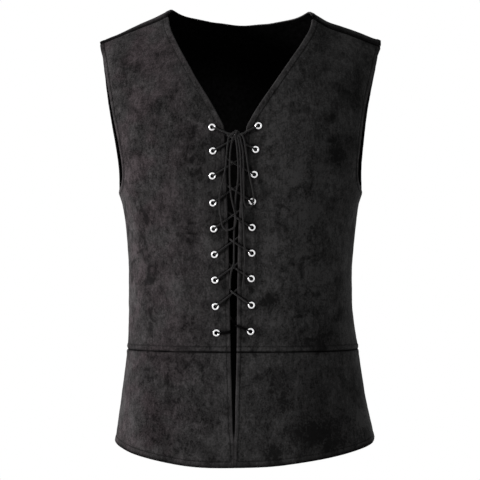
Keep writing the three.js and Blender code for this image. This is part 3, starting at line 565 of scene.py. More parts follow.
def smoothstep(value, low, high):
    s = np.clip((value - low) / (high - low), 0, 1)
    return s * s * (3 - 2 * s)


def near(distance, width):
    """1 at no distance, falling off to a third at the width."""
    return np.exp(-((distance / width) ** 2))


def shoulder_top(across):
    out = np.hypot(across, SHOULDER_ROUNDING)
    left = smoothstep(across, -NECK_HALF_WIDTH, NECK_HALF_WIDTH)
    return mix(SHOULDER_LINE.read(out, "right"), SHOULDER_LINE.read(out, "left"), left)


def down_of(roll):
    """How far down the cloth hangs at a level: it rolls over the shoulder, then falls straight."""
    size_of = np.abs(roll)
    curled = ROLL * (1 - np.cos(np.minimum(size_of / ROLL, QUARTER_TURN)))
    return np.where(size_of < ROLL * QUARTER_TURN, curled, size_of - ROLL * (QUARTER_TURN - 1))


def roll_of(down):
    curled = ROLL * np.arccos(np.clip(1 - down / ROLL, -1, 1))
    return np.where(down < ROLL, curled, down + ROLL * (QUARTER_TURN - 1))


def section(angle, half_width, depth, square):
    sine = np.abs(np.sin(angle) / half_width) ** square
    cosine = np.abs(np.cos(angle) / depth) ** square
    reach = (sine + cosine) ** (-1 / square)
    return np.sin(angle) * reach, np.cos(angle) * reach


def bodice_form(angle, roll):
    """The outer face of the bodice, by the angle round it and the level on the cloth."""
    down = down_of(roll)
    half_width, front, back, square = BODICE_SECTIONS.read_all(down, *SECTION_SIZES)
    depth = np.where(np.cos(angle) < 0, back, front)
    across, forward = section(angle, half_width, depth, square)
    over = np.minimum(np.abs(roll) / ROLL, QUARTER_TURN)
    reach = np.where(roll < 0, -forward * front / back, forward)
    top = shoulder_top(across)
    height = top - (top - WAIST) * down
    return np.stack([across + LEAN.read(height, "lean"), -reach * np.sin(over), height], axis=-1)


def skirt_form(angle, height):
    """The outer face of the skirt, by the angle round it and the height."""
    half_width, front, back, square = SKIRT_SECTIONS.read_all(height, *SECTION_SIZES)
    depth = np.where(np.cos(angle) < 0, back, front)
    across, forward = section(angle, half_width, depth, square)
    height = np.broadcast_to(height, across.shape)
    return np.stack([across + LEAN.read(height, "lean"), -forward, height], axis=-1)


def fold_rise(angle, height):
    around = np.degrees(angle)
    rise = np.zeros_like(height)
    for at, spread_of, top, bottom, most in FOLDS:
        along = np.clip((height - bottom) / (top - bottom), 0, 1)
        turn = (around - at + 180) % 360 - 180
        rise += most * near(turn, spread_of) * np.sin(math.pi * along) ** 1.5
    return rise


SMALL_TURN = 1e-3
SMALL_STEP = 3e-4
CENTRE_BELOW = 0.09


def outward(form, angle, level):
    """The outward direction of a form, from small steps along it."""
    toward = np.where(np.cos(angle) * np.sin(angle) < 0, -1, 1)
    point = form(angle, level)
    across = form(angle - SMALL_TURN * toward, level) - point
    up = form(angle, level + SMALL_STEP) - form(angle, level - SMALL_STEP)
    normal = unit(np.cross(across, up))
    from_middle = point * (1, 1, 0) + (0, 0, CENTRE_BELOW)
    facing = np.sum(normal * from_middle, axis=-1, keepdims=True)
    return np.where(facing < 0, -normal, normal)


def on_form(form, angle, level, lift=0.0):
    """Places on a form with its folds, lifted off its outer face."""
    point = form(angle, level)
    rise = fold_rise(angle, point[..., 2]) + lift
    return point + outward(form, angle, level) * np.asarray(rise)[..., None]


def section_angle(across, half_width, depth, square):
    share = np.minimum(np.abs(across) / half_width, 1)
    return np.arctan2(across, depth * (1 - share**square) ** (1 / square))


def edge_across(roll, edge_x):
    """How far across an edge lies at a level, where the height there depends on the answer."""
    down = down_of(roll)
    half_width = BODICE_SECTIONS.read(down, "half_width")
    across = np.zeros_like(down)
    for _ in range(SETTLING_ROUNDS):
        top = shoulder_top(across)
        across = edge_x(top - (top - WAIST) * down, half_width)
    return across


def place_across(across, roll, face):
    """A place on the front or back of the bodice, as an angle and a level."""
    sizes = BODICE_SECTIONS.read_all(down_of(roll), "half_width", face, "square")
    angle = section_angle(across, *sizes)
    angle = -math.pi - angle if face == "back" else angle
    return np.stack([angle, np.broadcast_to(roll, angle.shape)], axis=-1)


def opening_edge(height, side):
    return OPENING.read(height, "middle") + side * OPENING.read(height, "half")


def opening_x(side):
    def edge_x(height, _half_width=None):
        return opening_edge(height, side) - LEAN.read(height, "lean")

    return edge_x


def armhole_x(side, face):
    def edge_x(height, half_width):
        return side * half_width * ARMHOLE.read(height, face)

    return edge_x


def front_place(x, height):
    """The angle and level on the front of the bodice at a point across and a height."""
    across = x - LEAN.read(height, "lean")
    top = shoulder_top(across)
    down = (top - height) / (top - WAIST)
    sizes = BODICE_SECTIONS.read_all(down, "half_width", "front", "square")
    return section_angle(across, *sizes), roll_of(down)


SEAM_CLEARANCE = CLEAR_OF_SEAM / (SHOULDER_HEIGHT - WAIST)
AT_WAIST = 1 + ROLL * (QUARTER_TURN - 1) - SEAM_CLEARANCE


def seam_level(side_name, face, share):
    level = ROLL * np.radians(mix(*SHOULDER_SEAM[side_name], share))
    return SEAM_CLEARANCE - level if face == "back" else SEAM_CLEARANCE + level


def shoulder_seam(side_name, face, shares):
    side = SIDES[side_name]
    neck = edge_across(seam_level(side_name, face, 0), opening_x(side))
    tip = edge_across(seam_level(side_name, face, 1), armhole_x(side, face))
    return place_across(mix(neck, tip, shares), seam_level(side_name, face, shares), face)


EDGE_PLACES = 400
LEVEL_WEIGHT = 0.2


def even_edge(low, high, shares, place_at):
    """Places from one level to another at shares of the way along the cloth between them."""
    levels = np.linspace(low, high, EDGE_PLACES)
    along = lengths_along(bodice_form(*place_at(levels).T)) + np.abs(levels - low) * LEVEL_WEIGHT
    return place_at(np.interp(shares * along[-1], along, levels))


SIDE_SHARE = 7 / 19
LACED_SHARE = 11 / 19


def split_edge(shares, corner_share, low, corner, high, first_part, second_part):
    below = shares <= corner_share
    first = even_edge(low, corner, shares[below] / corner_share, first_part)
    second = even_edge(corner, high, (shares[~below] - corner_share) / (1 - corner_share), second_part)
    return np.concatenate([first, second])


NEAR_UNDERARM = 0.5


def outer_edge(side_name, face, shares, top=None):
    """Places up the side seam and round the armhole to the shoulder seam."""
    side = SIDES[side_name]
    top = seam_level(side_name, face, 1) if top is None else top
    underarm_top = shoulder_top(BODICE_SECTIONS.read(NEAR_UNDERARM, "half_width"))
    underarm = float(roll_of((underarm_top - UNDERARM) / (underarm_top - WAIST)))
    angle = side * QUARTER_TURN
    angle = -math.pi - angle if face == "back" else angle

    def side_seam(roll):
        return np.stack([np.full_like(roll, angle), roll], axis=-1)

    def armhole(roll):
        return place_across(edge_across(roll, armhole_x(side, face)), roll, face)

    return split_edge(shares, SIDE_SHARE, AT_WAIST, underarm, top, side_seam, armhole)


def inner_edge(side_name, shares):
    """Places up the laced opening and the V of the neck to the shoulder seam."""
    edge_x = opening_x(SIDES[side_name])
    corner = float(front_place(edge_x(NECK_CORNER), NECK_CORNER)[1])
    top = seam_level(side_name, "front", 0)

    def edge(roll):
        return place_across(edge_across(roll, edge_x), roll, "front")

    return split_edge(shares, LACED_SHARE, AT_WAIST, corner, top, edge, edge)


def straight(first, last, shares):
    return mix(first[None, :], last[None, :], shares[:, None])


def fill_between(bottom, top, first, last, shares, across_shares):
    """The places inside four edges. The shape of the top edge fades quickly down the panel."""
    off_low = bottom - mix(bottom[:1], bottom[-1:], across_shares[:, None])
    off_high = top - mix(top[:1], top[-1:], across_shares[:, None])
    sides = mix(first[:, None], last[:, None], across_shares[None, :, None])
    return sides + mix(off_low[None], off_high[None], shares[:, None, None] ** 2)


FINE_STEP = 0.0008
FRONT_STEP = 0.0032
BACK_STEP = 0.0042
BORDER = 0.011


def drawn_in(length, coarse, fine=FINE_STEP):
    """Shares from 0 to 1 that lie close together near both ends, for the hems and seams there."""
    reached = [0.0]
    while reached[-1] < length / 2:
        ease = min(max((reached[-1] - BORDER) / (2 * BORDER), 0), 1)
        reached.append(reached[-1] + mix(fine, coarse, ease))
    half_way = np.array(reached) / reached[-1] / 2
    return np.concatenate([half_way, 1 - half_way[-2::-1]])


def soft_noise(place, grain, seed):
    """Smooth value noise between -1 and 1, the same on each run."""
    q = np.asarray(place) / grain
    cell = np.floor(q).astype(np.int64)
    f = q - cell
    f = f * f * (3 - 2 * f)
    total = np.zeros(q.shape[:-1])
    for corner in range(8):
        step = np.array([corner & 1, corner >> 1 & 1, corner >> 2 & 1])
        key = (cell + step) @ np.array([73856093, 19349663, 83492791]) + seed * 2654435761
        key = (key ^ (key >> 13)) * 1274126177
        value = ((key ^ (key >> 16)) & 0xFFFF) / 32767.5 - 1
        weight = np.prod(np.where(step, f, 1 - f), axis=-1)
        total += weight * value
    return total


def grid_faces(index):
    corners = [index[:-1, :-1], index[:-1, 1:], index[1:, 1:], index[1:, :-1]]
    return np.stack(corners, axis=-1).reshape(-1, 4)


def vertex_normals(points, faces):
    a, b, c, d = (points[faces[:, i]] for i in range(4))
    face_normals = np.cross(c - a, d - b)
    normals = np.zeros_like(points)
    for i in range(4):
        np.add.at(normals, faces[:, i], face_normals)
    return unit(normals)


CLOSE_PLACES = 0.0005


def distance_to(form, lines, points):
    """How far each point is from some lines on a form."""
    line = np.vstack([close_places(on_form(form, *line.T)) for line in lines])
    tree = KDTree(len(line))
    for i, place in enumerate(line):
        tree.insert(place, i)
    tree.balance()
    return np.array([tree.find(place)[2] for place in points])


def close_places(line):
    """A line with places added, so that they lie close together."""
    length = lengths_along(line)[-1]
    return places_along(line, np.linspace(0, length, int(length / CLOSE_PLACES) + 2))


# Hem and seam reliefs: a turned edge is two layers thick out to its stitches, which sink in, and
# each seam is a narrow valley.
TURNED = {"rise": 0.00045, "stitch_dip": 0.0005, "stitch_width": 0.0008, "rounding": 0.0011, "rounded": 0.8}
TURNED_BAND = (-0.0002, 0.0012)
SEAM_VALLEY = {"depth": 0.0012, "width": 0.0012, "swell": 0.0005, "swell_at": 0.0042, "swell_width": 0.003}


def turned_relief(distance, past_stitches):
    """The rise of a turned edge: thick out to its stitches, dipped at them, rounded at the fold."""
    band = 1 - smoothstep(past_stitches, *TURNED_BAND)
    groove = near(past_stitches, TURNED["stitch_width"])
    rounding = TURNED["rounding"]
    inside = np.clip(rounding - distance, 0, rounding)
    drop = rounding - np.sqrt(rounding**2 - inside**2)
    return TURNED["rise"] * band - TURNED["stitch_dip"] * groove - TURNED["rounded"] * drop


def seam_relief(distance):
    swell = near(distance - SEAM_VALLEY["swell_at"], SEAM_VALLEY["swell_width"])
    return SEAM_VALLEY["swell"] * swell - SEAM_VALLEY["depth"] * near(distance, SEAM_VALLEY["width"])


SHORTEST_LINE = 6


def contour(points, faces, field, value):
    """The lines on a surface where a field has a value, as lists of places."""
    crossing = {}
    places = []
    links = {}
    touched = np.nonzero((field[faces].min(1) < value) & (field[faces].max(1) > value))[0]
    for face in faces[touched]:
        found = []
        for a, b in zip(face, np.roll(face, -1)):
            if (field[a] < value) == (field[b] < value):
                continue
            key = (min(a, b), max(a, b))
            if key not in crossing:
                share = (value - field[key[0]]) / (field[key[1]] - field[key[0]])
                crossing[key] = len(places)
                places.append(points[key[0]] + (points[key[1]] - points[key[0]]) * share)
            found.append(crossing[key])
        if len(found) == 2:
            links.setdefault(found[0], []).append(found[1])
            links.setdefault(found[1], []).append(found[0])
    lines = []
    left = set(links)
    for start in sorted(links, key=lambda i: (len(links[i]), i)):
        if start not in left:
            continue
        line = [start]
        left.discard(start)
        while True:
            following = [i for i in links[line[-1]] if i in left]
            if not following:
                break
            line.append(following[0])
            left.discard(following[0])
        if len(line) > SHORTEST_LINE:
            lines.append(np.array([places[i] for i in line]))
    return lines


TURNED_EDGE_STITCH = {
    "neck": 0.0078, "front": 0.0052, "armhole": 0.0064, "back_armhole": 0.0064, "hem": 0.0085
}
# Widths of painted shade: under the rolled hem and back armhole, on their shadowed undersides; in the
# seams; and a wide band on the back of the shoulders, which turns away from the lamp.
EDGE_SHADE_WIDTH = {"back_armhole": 0.004, "hem": 0.0038}
SEAM_SHADE_WIDTH = {"waist": 0.0016, "side": 0.0014, "shoulder": 0.0028, "shoulder_back": 0.015}
WAIST_STITCH = 0.0078
EYELET_PLACES = [
    {"height": -0.1524, "right": 0.0165, "left": 0.0159},
    {"height": -0.1863, "right": 0.0169, "left": 0.0159},
    {"height": -0.2219, "right": 0.0189, "left": 0.0168},
    {"height": -0.2603, "right": 0.0198, "left": 0.0171},
    {"height": -0.2972, "right": 0.0201, "left": 0.0186},
    {"height": -0.3338, "right": 0.0199, "left": 0.0193},
    {"height": -0.3702, "right": 0.02, "left": 0.0192},
    {"height": -0.408, "right": 0.0201, "left": 0.0198},
    {"height": -0.4456, "right": 0.0194, "left": 0.019},
]
EYELET_ROWS = len(EYELET_PLACES)
EYELET_TILT = 0.001


def eyelet_seat(side_name, row):
    """Where an eyelet sits on its front, and the direction that it faces."""
    side = SIDES[side_name]
    height = EYELET_PLACES[row]["height"] + side * EYELET_TILT
    x = opening_edge(height, side) + side * EYELET_PLACES[row][side_name]
    place = front_place(x, height)
    return {
        "x": float(x),
        "height": height,
        "point": on_form(bodice_form, *place),
        "facing": outward(bodice_form, *place),
    }


EYELETS = {side: [eyelet_seat(side, row) for row in range(EYELET_ROWS)] for side in SIDES}

# The larger patches on the front, darker or paler: how far across, height, half width, half height
# and darkness, which is below 0 where it is pale. The pale narrow stripes by the side borders are
# painted highlights, where light grazes the turning cloth, and the darkest patch, high on the
# wearer's left chest, is painted shade beside a fold. The rest stand for the nap lying flat and
# dark or brushed up and pale.
NAP_AND_PAINTED_LIGHT_PATCHES = [
    (0.139, -0.194, 0.012, 0.016, 0.9),
    (0.163, -0.17, 0.006, 0.014, 0.45),
    (0.108, -0.589, 0.024, 0.015, 0.85),
    (0.142, -0.606, 0.01, 0.009, 0.55),
    (0.05, -0.618, 0.02, 0.012, 0.5),
    (0.0456, -0.526, 0.006, 0.015, 0.5),
    (0.063, -0.542, 0.007, 0.013, 0.5),
    (0.145, -0.559, 0.007, 0.006, 0.5),
    (0.124, -0.45, 0.01, 0.012, 0.4),
    (0.122, -0.062, 0.006, 0.006, 0.5),
    (0.141, -0.045, 0.01, 0.007, 0.45),
    (0.171, -0.072, 0.006, 0.014, 0.5),
    (0.17, -0.112, 0.007, 0.02, 0.5),
    (-0.118, -0.145, 0.005, 0.022, 0.35),
    (-0.045, -0.24, 0.012, 0.04, 0.3),
    (-0.13, -0.505, 0.01, 0.012, 0.35),
    (-0.1, -0.6, 0.02, 0.012, 0.35),
    (0.174, -0.577, 0.006, 0.022, -0.7),
    (-0.163, -0.226, 0.006, 0.024, -0.45),
    (-0.155, -0.36, 0.008, 0.06, -0.3),
    (0.09, -0.3, 0.02, 0.05, -0.35),
    (0.105, -0.4, 0.02, 0.03, -0.3),
    (0.09, -0.13, 0.06, 0.1, -0.2),
    (0.1, -0.56, 0.07, 0.06, 0.18),
    (0.09, -0.34, 0.06, 0.09, -0.15),
]
PATCH_FADE = 1.4


def nap_and_painted_light_patches(points):
    """How much the patches darken or pale the front: the nap, with some painted highlights and shade."""
    total = np.zeros(len(points))
    for x, height, wide, tall, dark in NAP_AND_PAINTED_LIGHT_PATCHES:
        across = (points[:, 0] - x) / wide
        along = (points[:, 2] - height) / tall
        total += dark * np.exp(-(across**2 + along**2) / PATCH_FADE)
    return np.where(points[:, 1] < 0, total, 0)


WRINKLES = [
    {"rise": 0.0011, "grain": 0.062, "tall": 0.45, "seed": 3},
    {"rise": 0.0006, "grain": 0.027, "tall": 0.45, "seed": 8},
    {"rise": 0.00022, "grain": 0.011, "tall": 1.0, "seed": 14},
]
TIP = {"out": 0.2, "height": -0.02, "wide": 0.022, "tall": 0.03, "rise": 0.002, "grain": 0.01, "seed": 21}
TIP_TURN = np.array([[0.8, 0, 0.3], [0, 1, 0], [-0.3, 0, 0.5]])
STEADIED = {"share": 0.12, "from": 0.012, "to": 0.06}


def cloth_wrinkles(form, edges, points):
    """Small unevenness of the hanging cloth, which the turned edges hold steady, and puckers where
    the shoulders end."""
    rise = 0
    for wrinkle in WRINKLES:
        stretched = points * (1, 1, wrinkle["tall"])
        rise += wrinkle["rise"] * soft_noise(stretched, wrinkle["grain"], wrinkle["seed"])
    near_tip = near(np.abs(points[:, 0]) - TIP["out"], TIP["wide"])
    near_tip = near_tip * near(points[:, 2] - TIP["height"], TIP["tall"])
    rise += near_tip * TIP["rise"] * soft_noise(points @ TIP_TURN, TIP["grain"], TIP["seed"])
    every_edge = [line for lines in edges.values() for line in lines]
    loose = smoothstep(distance_to(form, every_edge, points), STEADIED["from"], STEADIED["to"])
    return rise * np.maximum(mix(STEADIED["share"], 1, loose), near_tip)


PUCKER = {"rise": 0.00022, "width": 0.009, "grain": 0.0052}
EDGE_SEED = 31
SEAM_SEED = 47


def sewn_pucker(points, distance, seed):
    """The small gathers that a row of stitches leaves in the cloth beside it."""
    return PUCKER["rise"] * near(distance, PUCKER["width"]) * soft_noise(points, PUCKER["grain"], seed)


def cut_places(blocks):
    """The separate places of a piece, as angle and level, and the faces between them. Blocks share
    the rows where they join."""
    places = np.concatenate([block.reshape(-1, 2) for block in blocks])
    _, first, where = np.unique(places.round(9), axis=0, return_index=True, return_inverse=True)
    where = where.reshape(-1)
    faces = []
    start = 0
    for block in blocks:
        rows, columns = block.shape[:2]
        faces.append(grid_faces(where[start : start + rows * columns].reshape(rows, columns)))
        start += rows * columns
    return places[first], np.concatenate(faces)


def hung_cloth(form, places, faces, edges):
    """The cloth as it hangs on its form, with its wrinkles, and its faces turned outward."""
    points = on_form(form, *places.T)
    away = outward(form, *places.T)
    middle_face = faces[len(faces) // 2]
    a, b, _, d = points[middle_face]
    if np.dot(np.cross(b - a, d - a), away[middle_face[0]]) < 0:
        faces = faces[:, ::-1]
    return points + away * cloth_wrinkles(form, edges, points)[:, None], faces


FAR_AWAY = 1.0
EDGE_WEAR = {"width": 0.0024, "band": 0.16}
WORN_BAND = (-0.003, 0)
# Painted shade in the grooves of the stitches, along the turned edges and above the waist seam.
STITCH_SHADE = {"width": 0.0009, "edge": 0.55, "waist": 0.45}


def turned_edges(form, points, edges):
    """What the turned edges do to the cloth: its distance to them and to their stitches, its rise,
    its wear, and the shade painted in their stitch grooves and under the rolled hem and back armhole."""
    nearest = np.full(len(points), FAR_AWAY)
    past_stitches = nearest.copy()
    edge_shade = np.zeros(len(points))
    for kind, lines in edges.items():
        distance = distance_to(form, lines, points)
        nearest = np.minimum(nearest, distance)
        past_stitches = np.minimum(past_stitches, distance - TURNED_EDGE_STITCH[kind])
        if kind in EDGE_SHADE_WIDTH:
            edge_shade = np.maximum(edge_shade, near(distance, EDGE_SHADE_WIDTH[kind]))
    rise = turned_relief(nearest, past_stitches) + sewn_pucker(points, past_stitches, EDGE_SEED)
    band = EDGE_WEAR["band"] * (1 - smoothstep(past_stitches, *WORN_BAND))
    wear = np.maximum(near(nearest, EDGE_WEAR["width"]), band) * (1 - edge_shade)
    shade = np.maximum(STITCH_SHADE["edge"] * near(past_stitches, STITCH_SHADE["width"]), edge_shade)
    return nearest, past_stitches, rise, wear, shade


WAIST_ALLOWANCE = {"rise": 0.00035, "fade": 0.0014, "stitch_dip": 0.0005}


def waist_allowance(from_waist):
    """The turned-up allowance above the waist seam, out to its stitches, and the shade painted in their
    groove.
    """
    stitched = near(from_waist - WAIST_STITCH, STITCH_SHADE["width"])
    doubled = 1 - smoothstep(from_waist, WAIST_STITCH, WAIST_STITCH + WAIST_ALLOWANCE["fade"])
    rise = WAIST_ALLOWANCE["rise"] * doubled - WAIST_ALLOWANCE["stitch_dip"] * stitched
    return rise, STITCH_SHADE["waist"] * stitched


EYELET_HOLE = 0.0037
DIMPLE = {
    "depth": 0.0004, "width": 0.0065, "rise": 0.00035, "ring": 0.0095, "ring_width": 0.0032, "grain": 0.006
}
DIMPLE_SEED = 5


def eyelet_dimple(points, hole):
    """The cloth pressed in by an eyelet, with small gathers round it."""
    distance = np.linalg.norm(points - hole, axis=1)
    ring = near(distance - DIMPLE["ring"], DIMPLE["ring_width"])
    gathers = ring * soft_noise(points, DIMPLE["grain"], DIMPLE_SEED)
    return DIMPLE["rise"] * gathers - DIMPLE["depth"] * near(distance, DIMPLE["width"])


def without_holes(points, faces, holes):
    centres = points[faces].mean(1)
    for hole in holes:
        kept = np.linalg.norm(centres - hole, axis=1) >= EYELET_HOLE
        centres, faces = centres[kept], faces[kept]
    return faces


def border_of(faces, count):
    """The sides that only one face has, in the direction that this face goes round."""
    directed = np.concatenate([np.stack([faces[:, i], faces[:, (i + 1) % 4]], axis=-1) for i in range(4)])
    key = directed[:, 0] * count + directed[:, 1]
    reverse = directed[:, 1] * count + directed[:, 0]
    return directed[~np.isin(key, reverse)]


RIM_RINGS = 4
RIM_BULGE = 0.5
ON_THE_EDGE = 0.0008


def rim_places(outer, inner, out_of_cloth, is_turned):
    """Rings of places round the rim, which is rounded where the edge is turned and flat elsewhere."""
    half_wall = (outer - inner) / 2
    centre = (outer + inner) / 2
    bulge = (np.linalg.norm(half_wall, axis=1) * RIM_BULGE * is_turned)[:, None]
    turns = math.pi * np.arange(1, RIM_RINGS + 1) / (RIM_RINGS + 1)
    return [centre + half_wall * math.cos(turn) + out_of_cloth * math.sin(turn) * bulge for turn in turns]


def rim_faces(border, rim, count):
    """The faces of the rim, from the outer face of the cloth over its rings to the inner face."""
    place_of = np.full(count, -1)
    place_of[rim] = np.arange(len(rim))
    layers = [np.arange(count)]
    layers += [2 * count + ring * len(rim) + place_of for ring in range(RIM_RINGS)]
    layers.append(count + np.arange(count))
    first, second = border.T
    return np.concatenate([
        np.stack([upper[second], upper[first], lower[first], lower[second]], axis=-1)
        for upper, lower in zip(layers, layers[1:])
    ])


def set_attribute(piece, name, values):
    attribute = piece.data.attributes.new(name, "FLOAT", "POINT")
    attribute.data.foreach_set("value", values.astype(np.float32))


DOUBLED = {"extra": 0.0004, "from": 0.006, "to": 0.009}
stitch_lines = []


def cloth_piece(node_name, form, blocks, edges, seams, holes=()):
    """One cut piece of cloth as a closed wall, 2 mm thick, in place of its solid.
    It also leaves the lines of its topstitching for the thread."""
    places, faces = cut_places(blocks)
    points, faces = hung_cloth(form, places, faces, edges)
    count = len(points)
    nearest_edge, past_stitches, rise, wear, shade = turned_edges(form, points, edges)
    for kind, lines in seams.items():
        distance = distance_to(form, lines, points)
        rise += seam_relief(distance) + sewn_pucker(points, distance, SEAM_SEED)
        # Painted shade in and beside each seam, and in a wide band on the back of the shoulders.
        shade = np.maximum(shade, near(distance, SEAM_SHADE_WIDTH[kind]))
        if kind == "waist" and form is bodice_form:
            from_waist = distance
            allowance_rise, allowance_shade = waist_allowance(from_waist)
            rise += allowance_rise
            shade = np.maximum(shade, allowance_shade)
    for hole in holes:
        rise += eyelet_dimple(points, hole)
    normals = vertex_normals(points, faces)
    doubled = 1 - smoothstep(nearest_edge, DOUBLED["from"], DOUBLED["to"])
    outer = points + normals * rise[:, None]
    inner = points - normals * (WALL + DOUBLED["extra"] * doubled)[:, None]

    faces = without_holes(points, faces, holes)
    border = border_of(faces, count)
    rim = np.unique(border)
    along = np.zeros_like(points)
    for end in border.T:
        np.add.at(along, end, points[border[:, 1]] - points[border[:, 0]])
    out_of_cloth = unit(np.cross(along[rim], normals[rim]))
    rings = rim_places(outer[rim], inner[rim], out_of_cloth, nearest_edge[rim] < ON_THE_EDGE)
    suede_faces = np.concatenate([faces, rim_faces(border, rim, count)])
    every_face = np.concatenate([suede_faces, faces[:, ::-1] + count])
    every_point = np.concatenate([outer, inner, *rings])
    used = np.unique(every_face)
    renumber = np.full(len(every_point), -1)
    renumber[used] = np.arange(len(used))
    is_reverse = np.arange(len(every_face)) >= len(suede_faces)
    points_used = every_point[used]
    piece = mesh_object(
        node_name + "_cloth", points_used, renumber[every_face], [SUEDE, SUEDE_REVERSE], is_reverse
    )
    # The edges' wear, and the shade painted in seams, stitch grooves and under rolled edges, for the
    # material.
    for name, values in (("edge_wear", wear), ("painted_seam_shade", shade)):
        everywhere = np.concatenate([values, np.zeros(count), *[values[rim]] * RIM_RINGS])
        set_attribute(piece, name, everywhere[used])
    set_attribute(piece, "nap_and_painted_light_patch", nap_and_painted_light_patches(points_used))

    stitch_lines.extend(contour(outer, faces, past_stitches, 0))
    if form is bodice_form:
        stitch_lines.extend(contour(outer, faces, from_waist, WAIST_STITCH))
    belongs_to(piece, "suede", node_name)


# Each layer of the mottling: its scale beside the patch size, detail, roughness, bend, the range
# that counts and its share of the tone.
NAP_LAYERS = {
    "wide": (1.0, 6.0, 0.66, 0.5, 0.34, 0.66, 0.26),
    "middle": (3.1, 6.0, 0.7, 0.7, 0.3, 0.7, 0.2),
    "streaks": (9.0, 5.0, 0.66, 0.8, 0.3, 0.7, 0.28),
    "flecks": (17.0, 4.0, 0.75, 0.0, 0.34, 0.66, 0.3),
}
NAP_HEIGHT = {"streaks": 0.9, "flecks": 0.5}
# The smudges where the nap is rubbed flat, and the regions that have them, without a share.
RUBBED = ((1.7, 5.0, 0.6, 0.8, 0.46, 0.66), (0.42, 2.0, 0.5, 0.3, 0.42, 0.62))
RUBBED_SHARE = 0.6
FUZZ_RISE = 0.3
BRUSHED = {"Rotation": (0.2, 0.3, 0.25), "Scale": (1, 1, 0.4)}


def nap_layer(group, at, patch, scale, detail, rough, bend, low, high):
    """A noise, and the same noise held inside the range that counts."""
    layer = noise(group, at, times(group, patch, scale), detail, rough, bend)
    return layer, spread(group, layer, low, high)


def brushed_nap():
    """The mottled tone of suede, where its nap lies this way and that, and its fine height."""
    group, place, patch, out = tone_and_height_group("brushed nap", "Patch Size")
    brushed = node(group, "ShaderNodeMapping", {"Vector": place, **BRUSHED}).outputs[0]
    tone = 0.0
    height = times(group, fuzz_at(group, place, fineness=1900.0)[1], FUZZ_RISE)
    for name, (*look, share) in NAP_LAYERS.items():
        layer, contrast = nap_layer(group, brushed if name == "streaks" else place, patch, *look)
        tone = plus(group, tone, times(group, contrast, share))
        if name in NAP_HEIGHT:
            height = plus(group, height, times(group, layer, NAP_HEIGHT[name]))
    smudges, regions = (nap_layer(group, place, patch, *look)[1] for look in RUBBED)
    rubbed = times(group, times(group, smudges, regions), RUBBED_SHARE)
    tone = times(group, tone, maths(group, "SUBTRACT", 1.0, rubbed))
    fill_inputs(group, out, {"Tone": tone, "Height": height})
    return group


BRUSHED_NAP = brushed_nap()
NAP_DARK = (0.0052, 0.0052, 0.0052, 1)
NAP_MIDDLE = (0.0189, 0.0188, 0.0188, 1)
NAP_LIGHT = (0.0375, 0.0371, 0.0373, 1)
NAP_WORN = (0.04, 0.038, 0.039, 1)
# The nap's colour where shade is painted in seams, stitch grooves and rolled edges.
NAP_IN_PAINTED_SHADE = (0.003, 0.003, 0.003, 1)
# The nap's colour in the painted shadow of near things.
NAP_IN_PAINTED_SHADOW = (0.0015, 0.0015, 0.0015, 1)
# The tint of the key lamp's light, painted on the wearer's right from this far across.
PAINTED_LAMP_TINT = (1, 0.84, 0.89, 1)
PAINTED_TINT_FROM = -0.15
WORN_SHARE = 0.45
PAINTED_SHADE_SHARE = 0.8
NAP_SHEEN = (0.84, 0.84, 0.84, 1)


def attribute_of(tree, name):
    return node(tree, "ShaderNodeAttribute", attribute_name=name).outputs["Fac"]


